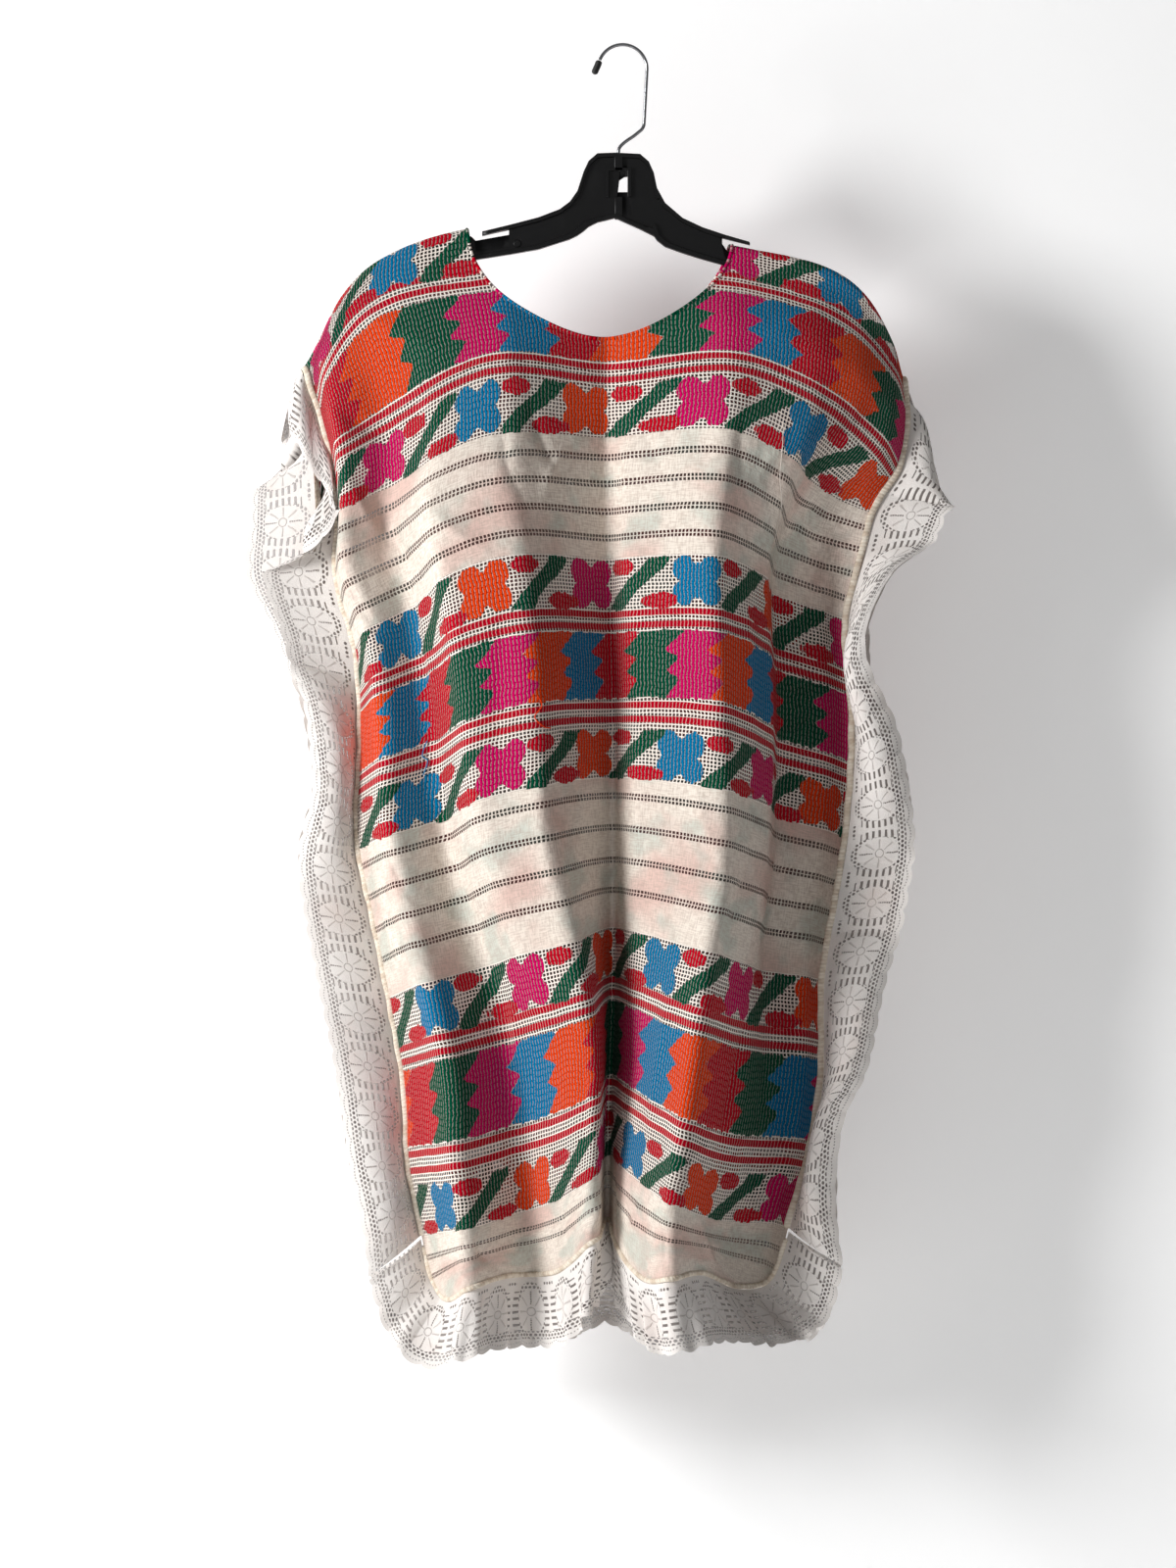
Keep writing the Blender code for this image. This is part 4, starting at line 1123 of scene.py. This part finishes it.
# %% Hanger body
HANGER_THICKNESS = 9.0
RIM = 3.2
WEB = 1.6                    # half the web's thickness
CHAMFER = 0.5
HangerEdge = namedtuple("HangerEdge", "along top underside")
HANGER_EDGE = rows_of(
    HangerEdge,
    (-224, -205, -212), (-218, -198, -215), (-198, -179, -201), (-178, -167.5, -188),
    (-151, -157, -177.5), (-124, -152.5, -171.5), (-121, -151.5, -171), (-112, -147.8, -169.5),
    (-90, -142.5, -166), (-67, -136.5, -162), (-50, -130, -156.5), (-42, -124, -154),
    (-36, -115.5, -151), (-31, -100, -147.5), (-27, -91.5, -144), (-20, -85.5, -140.5),
    (-6, -85, -137), (14, -86, -146), (21, -92, -149.5), (25, -101, -151.5), (27.5, -113, -155),
    (34, -125, -160), (48, -137, -165), (64, -144.5, -170), (82, -150.5, -175),
    (101, -156, -180.5), (107, -168, -182), (128, -171.5, -187.5), (149, -176.5, -195),
    (168, -185.5, -206), (187, -201.5, -225), (199, -220, -239), (205, -234, -240),
)


def skin(mesh, rings):
    """Faces from ring to ring, and one over each end."""
    for first, second in zip(rings, rings[1:]):
        for number in range(len(first)):
            after = (number + 1) % len(first)
            mesh.faces.new([first[number], first[after], second[after], second[number]])
    mesh.faces.new(rings[0])
    mesh.faces.new(rings[-1][::-1])
    bmesh.ops.recalc_face_normals(mesh, faces=mesh.faces)


def hanger_loft():
    """The I-beam, as rings of section points at stations along the hanger."""
    table = np.array(HANGER_EDGE, float)
    stations = [np.linspace(a, b, 5) for a, b in zip(table[:-1, 0], table[1:, 0])]
    along = np.unique(np.concatenate(stations))
    top = np.interp(along, table[:, 0], table[:, 1])
    under = np.interp(along, table[:, 0], table[:, 2])
    slope = np.abs(np.gradient((top + under) / 2, along))
    rim = np.minimum(RIM * np.sqrt(1 + slope ** 2), (top - under) * 0.42)
    half = HANGER_THICKNESS / 2
    mesh = bmesh.new()
    rings = []
    for x, t, u, r in zip(along, top, under, rim):
        inner, outer = r + 0.5, half - CHAMFER
        section = [
            (-half, t - CHAMFER), (-outer, t), (outer, t), (half, t - CHAMFER),
            (half, t - r), (WEB, t - inner), (WEB, u + inner), (half, u + r),
            (half, u + CHAMFER), (outer, u), (-outer, u), (-half, u + CHAMFER),
            (-half, u + r), (-WEB, u + inner), (-WEB, t - inner), (-half, t - r),
        ]
        rings.append([mesh.verts.new((x * MM, y * MM, z * MM)) for y, z in section])
    skin(mesh, rings)
    return mesh


def add_object(name, mesh, material, sharp=35):
    data = bpy.data.meshes.new(name)
    mesh.to_mesh(data)
    mesh.free()
    data.shade_smooth()
    data.set_sharp_from_angle(angle=math.radians(sharp))
    data.materials.append(material)
    made = bpy.data.objects.new(name, data)
    bpy.context.scene.collection.objects.link(made)
    return made


def plate(outline, low, high):
    """A plate from its outline in front view, between two depths."""
    mesh = bmesh.new()
    face = mesh.faces.new([mesh.verts.new((x * MM, low * MM, z * MM)) for x, z in outline])
    moved = bmesh.ops.extrude_face_region(mesh, geom=[face])
    far = [v for v in moved["geom"] if isinstance(v, bmesh.types.BMVert)]
    bmesh.ops.translate(mesh, verts=far, vec=(0, (high - low) * MM, 0))
    bmesh.ops.triangulate(mesh, faces=[f for f in mesh.faces if len(f.verts) > 4])
    bmesh.ops.recalc_face_normals(mesh, faces=mesh.faces)
    return mesh


def moulded_finish():
    f = Finish("moulded_plastic", dye(10, 10, 11), roughness=0.4, shine=0.3)
    place = f.node("TexCoord", output="Object")
    haze = f.noise(place, 60.0, 3)
    scuff = f.noise(f.node("Mapping", sockets={"Vector": place, "Scale": (30, 60, 900)}), 1.0, 2)
    f.feed("Roughness", haze * 0.22 + scuff.step(0.62, 0.8) * 0.2 + 0.24)
    f.feed("Base Color", f.mix(haze.step(0.5, 0.75) * 0.5, dye(8, 8, 9), dye(20, 20, 21)))
    f.bump(f.noise(place, 700.0, 3), 0.06, 0.5)
    return f.material


moulded = moulded_finish()
hanger = add_object("hanger", hanger_loft(), moulded)
CUTS = {
    "window": [(-2.6, -107), (1.2, -104.4), (4, -104), (4, -116.3), (-3.6, -116.3)],
    "left_notch": [(-90.5, -146.6), (-90.5, -150.3), (-117, -155), (-121, -151.5),
                   (-121, -138), (-111.8, -138), (-111.8, -151.2)],
    "right_notch": [(79.5, -153), (79.5, -157.6), (84, -164), (105, -168.2),
                    (107, -160), (107, -140), (101.5, -140), (101.5, -158.4)],
}
cutters = []
for name, outline in CUTS.items():
    cutter = add_object("cut_" + name, plate(outline, -HANGER_THICKNESS, HANGER_THICKNESS), moulded)
    boolean = hanger.modifiers.new(name, "BOOLEAN")
    boolean.object, boolean.operation = cutter, "DIFFERENCE"
    cutters.append(cutter)
with_cuts = hanger.evaluated_get(bpy.context.evaluated_depsgraph_get())
cut_mesh = bpy.data.meshes.new_from_object(with_cuts)
hanger.modifiers.clear()
hanger.data = cut_mesh
for cutter in cutters:
    bpy.data.objects.remove(cutter, do_unlink=True)
print("hanger", len(hanger.data.polygons), "faces")

# %% Moulded details
DETAILS = {
    "shank_rib": ([(-6.5, -86), (0.5, -86), (0.5, -99.5), (-6.5, -99.5)], 4.3),
    "window_frame": ([(-13.5, -97), (7, -97), (7, -120.5), (4, -120.5),
                      (4, -99.6), (-10.5, -99.6), (-10.5, -120.5), (-13.5, -120.5)], 4.3),
    "neck_rib": ([(-6.2, -120), (0.2, -120), (0.2, -138), (-6.2, -138)], 3.6),
}
details = [add_object(name, plate(outline, -deep, deep), moulded)
           for name, (outline, deep) in DETAILS.items()]
BOSS_RADIUS, BOSS_DEPTH = 3.1 * MM, 5.2 * MM
boss = bmesh.new()
bmesh.ops.create_cone(boss, cap_ends=True, segments=40, radius1=BOSS_RADIUS,
                      radius2=BOSS_RADIUS, depth=BOSS_DEPTH)
turned = Vector((0, 0, 1)).rotation_difference(Vector((0, 1, 0))).to_matrix()
bmesh.ops.rotate(boss, verts=boss.verts, cent=(0, 0, 0), matrix=turned)
bmesh.ops.translate(boss, verts=boss.verts, vec=(-84 * MM, 0, -157.3 * MM))
details.append(add_object("gate_boss", boss, moulded))
for detail in details:
    bevel = detail.modifiers.new("soft_edges", "BEVEL")
    bevel.width, bevel.segments = 0.5 * MM, 2
print(len(details), "moulded details")

# %% [markdown]
# ## The wire hook
# The hook is one plated wire, bent over a former and pressed into the neck block, with its tip
# dipped in black vinyl.  A tube swept along the bend is how it is really made.

# %% Hook
HOOK_WIRE = 2.8
HOOK_RADIUS = 19.5
HOOK_TIP_LENGTH = 12.0
HOOK_TIP_WIDTH = 5.4
HOOK_TIP_GAP = 0.4           # between the wire's end and the cap
HOOK_TIP_ROUNDING = 2.2


def arc(centre, radius, start, end, steps):
    turn = np.radians(np.linspace(start, end, steps + 1))
    return np.stack([centre[0] + radius * np.cos(turn), centre[1] + radius * np.sin(turn)], axis=1)


def round_tube(name, route, radii, material, turns=24):
    """A round tube in the hanger's plane, with a radius for each place along it."""
    route = np.asarray(route, float)
    forward = np.gradient(route, axis=0)
    forward /= np.linalg.norm(forward, axis=1, keepdims=True)
    side = np.stack([forward[:, 1], -forward[:, 0]], axis=1)
    around = np.linspace(0, 2 * math.pi, turns, endpoint=False)
    mesh = bmesh.new()
    rings = []
    for (x, z), (sx, sz), r in zip(route, side, radii):
        ring = [(x + sx * r * math.cos(a), r * math.sin(a), z + sz * r * math.cos(a))
                for a in around]
        rings.append([mesh.verts.new([value * MM for value in place]) for place in ring])
    skin(mesh, rings)
    return add_object(name, mesh, material, 60)


def plated_finish():
    f = Finish("plated_wire", dye(196, 197, 200), metallic=1.0)
    draw = f.noise(f.node("TexCoord", output="Object"), 260.0, 3)
    f.feed("Roughness", draw * 0.14 + 0.14)
    f.feed("Base Color", f.mix(draw.step(0.5, 0.8) * 0.6, dye(150, 151, 154), dye(104, 102, 100)))
    return f.material


crown = arc((0.0, HOOK_WIRE / 2 - HOOK_RADIUS), HOOK_RADIUS, 158, -6, 70)
bend = arc((9.2, -61.0), 8.0, 0, -52, 14)
corners = np.array([bend[-1], (9.0, -71.4), (2.0, -76.2), (-2.2, -80.4), (-3.2, -84.4),
                    (-3.2, -88.0)])
counted, fine = np.arange(len(corners)), np.linspace(0, len(corners) - 1, 40)
swan = np.stack([smooth_curve(counted, column, fine) for column in corners.T], axis=1)[1:]
shank = np.linspace(crown[-1], bend[0], 20)[1:]
wire_route = np.concatenate([crown, shank, bend[1:], swan])
wire = round_tube("bent_wire", wire_route, np.full(len(wire_route), HOOK_WIRE / 2), plated_finish())


def vinyl_finish():
    f = Finish("dipped_vinyl", dye(14, 14, 14), roughness=0.5)
    skin = f.noise(f.node("TexCoord", output="Object"), 500.0, 2)
    f.feed("Roughness", skin * 0.3 + 0.35)
    f.bump(skin, 0.15)
    return f.material


away = (crown[0] - crown[1]) / np.linalg.norm(crown[0] - crown[1])
share = np.linspace(0, 1, 26)
bulge = np.array([0.3, 0.3]) * np.sin(share * math.pi)[:, None]
cap_route = crown[0] + away * (HOOK_TIP_GAP + HOOK_TIP_LENGTH * share[:, None]) + bulge
rounding = np.minimum(1, np.minimum(share, 1 - share) * HOOK_TIP_LENGTH / HOOK_TIP_ROUNDING)
cap_radii = HOOK_TIP_WIDTH / 2 * np.sqrt(1 - (1 - rounding) ** 2 * 0.96)
cap = round_tube("vinyl_cap", cap_route, cap_radii, vinyl_finish())
print("hook wire", len(wire.data.polygons), "faces")

# %% [markdown]
# ## The stage
# A pale floor curves up into a pale wall, so that the blouse throws the soft shadow of a garment
# hung near a wall.  The wall is clear from behind, so that the back can be looked at too.

# %% Floor and wall
WALL_BEHIND = 0.15
FLOOR_LEVEL = -2.2
FLOOR_FRONT, WALL_TOP, STAGE_HALF_WIDTH = -5.0, 2.5, 4
SWEEP_RADIUS = 0.6
SWEEP_GLOW = 0.24
HEART = Vector((0, 0, -0.6))  # what the lamps face


def sweep_stage():
    f = Finish("pale_sweep", dye(247, 247, 247), roughness=0.95, shine=0.0)
    f.surface.inputs["Emission Color"].default_value = (1, 1, 1, 1)
    f.surface.inputs["Emission Strength"].default_value = SWEEP_GLOW
    clear = f.node("BsdfTransparent")
    behind = f.node("NewGeometry", output="Backfacing")
    surface = Wire(f, f.surface.outputs[0])
    shown = f.node("MixShader", sockets={0: behind, 1: surface, 2: clear})
    out = f.tree.nodes["Material Output"]
    f.tree.links.new(shown.socket, out.inputs["Surface"])
    turn = np.linspace(0, math.pi / 2, 24)
    profile = [(FLOOR_FRONT, FLOOR_LEVEL)]
    profile += [(WALL_BEHIND - SWEEP_RADIUS + SWEEP_RADIUS * math.sin(t),
                 FLOOR_LEVEL + SWEEP_RADIUS - SWEEP_RADIUS * math.cos(t)) for t in turn]
    profile += [(WALL_BEHIND, WALL_TOP)]
    mesh = bmesh.new()
    left = [mesh.verts.new((-STAGE_HALF_WIDTH, y, z)) for y, z in profile]
    right = [mesh.verts.new((STAGE_HALF_WIDTH, y, z)) for y, z in profile]
    for n in range(len(profile) - 1):
        mesh.faces.new([left[n], right[n], right[n + 1], left[n + 1]])
    return add_object("sweep", mesh, f.material, 60)


sweep = sweep_stage()


def soft_light(name, place, size, power):
    """A round lamp that faces the heart of the blouse."""
    data = bpy.data.lights.new(name, "AREA")
    data.shape, data.size, data.energy = "DISK", size, power
    lamp = bpy.data.objects.new(name, data)
    lamp.location = place
    lamp.rotation_euler = (HEART - Vector(place)).to_track_quat("-Z", "Y").to_euler()
    bpy.context.scene.collection.objects.link(lamp)


soft_light("window_light", (-2.1, -1.5, -0.1), 0.9, 76)
soft_light("front_fill", (0.2, -3.4, 0.2), 2.0, 4.0)
soft_light("behind_fill", (0.6, 2.6, 0.4), 2.0, 34)
world = bpy.data.worlds.new("studio")
world.use_nodes = True
world.node_tree.nodes["Background"].inputs["Color"].default_value = (1, 1, 1, 1)
world.node_tree.nodes["Background"].inputs["Strength"].default_value = 0.1
bpy.context.scene.world = world
bpy.context.scene.view_settings.view_transform = "Standard"
print("stage set")

# %% [markdown]
# ## Tying the pieces to the frame
# Every piece rides on the one body, and a piece that stands for solids hides them.

# %% Ride and replace
def dress(piece, slot, *nodes):
    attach(piece, "root")
    if nodes:
        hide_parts(*nodes)


PANEL_PARTS = ("shoulder", "chest", "waist", "skirt")
for piece, solid in ((front_sheet, "front_panel"), (back_sheet, "back_panel")):
    dress(piece, "brocade_cloth", *(f"{solid}_{part}" for part in PANEL_PARTS))
for side, found in trims.items():
    for piece in found:
        dress(piece, "brocade_cloth" if "neck" in piece.name else "lace")
for piece in threads:
    dress(piece, "brocade_cloth")
for node, piece in laces.items():
    dress(piece, "lace", node)
dress(hanger, "hanger_plastic", "hanger_body")
for piece in details:
    dress(piece, "hanger_plastic")
dress(wire, "hook_metal", "hook_wire")
dress(cap, "hook_tip", "hook_tip")
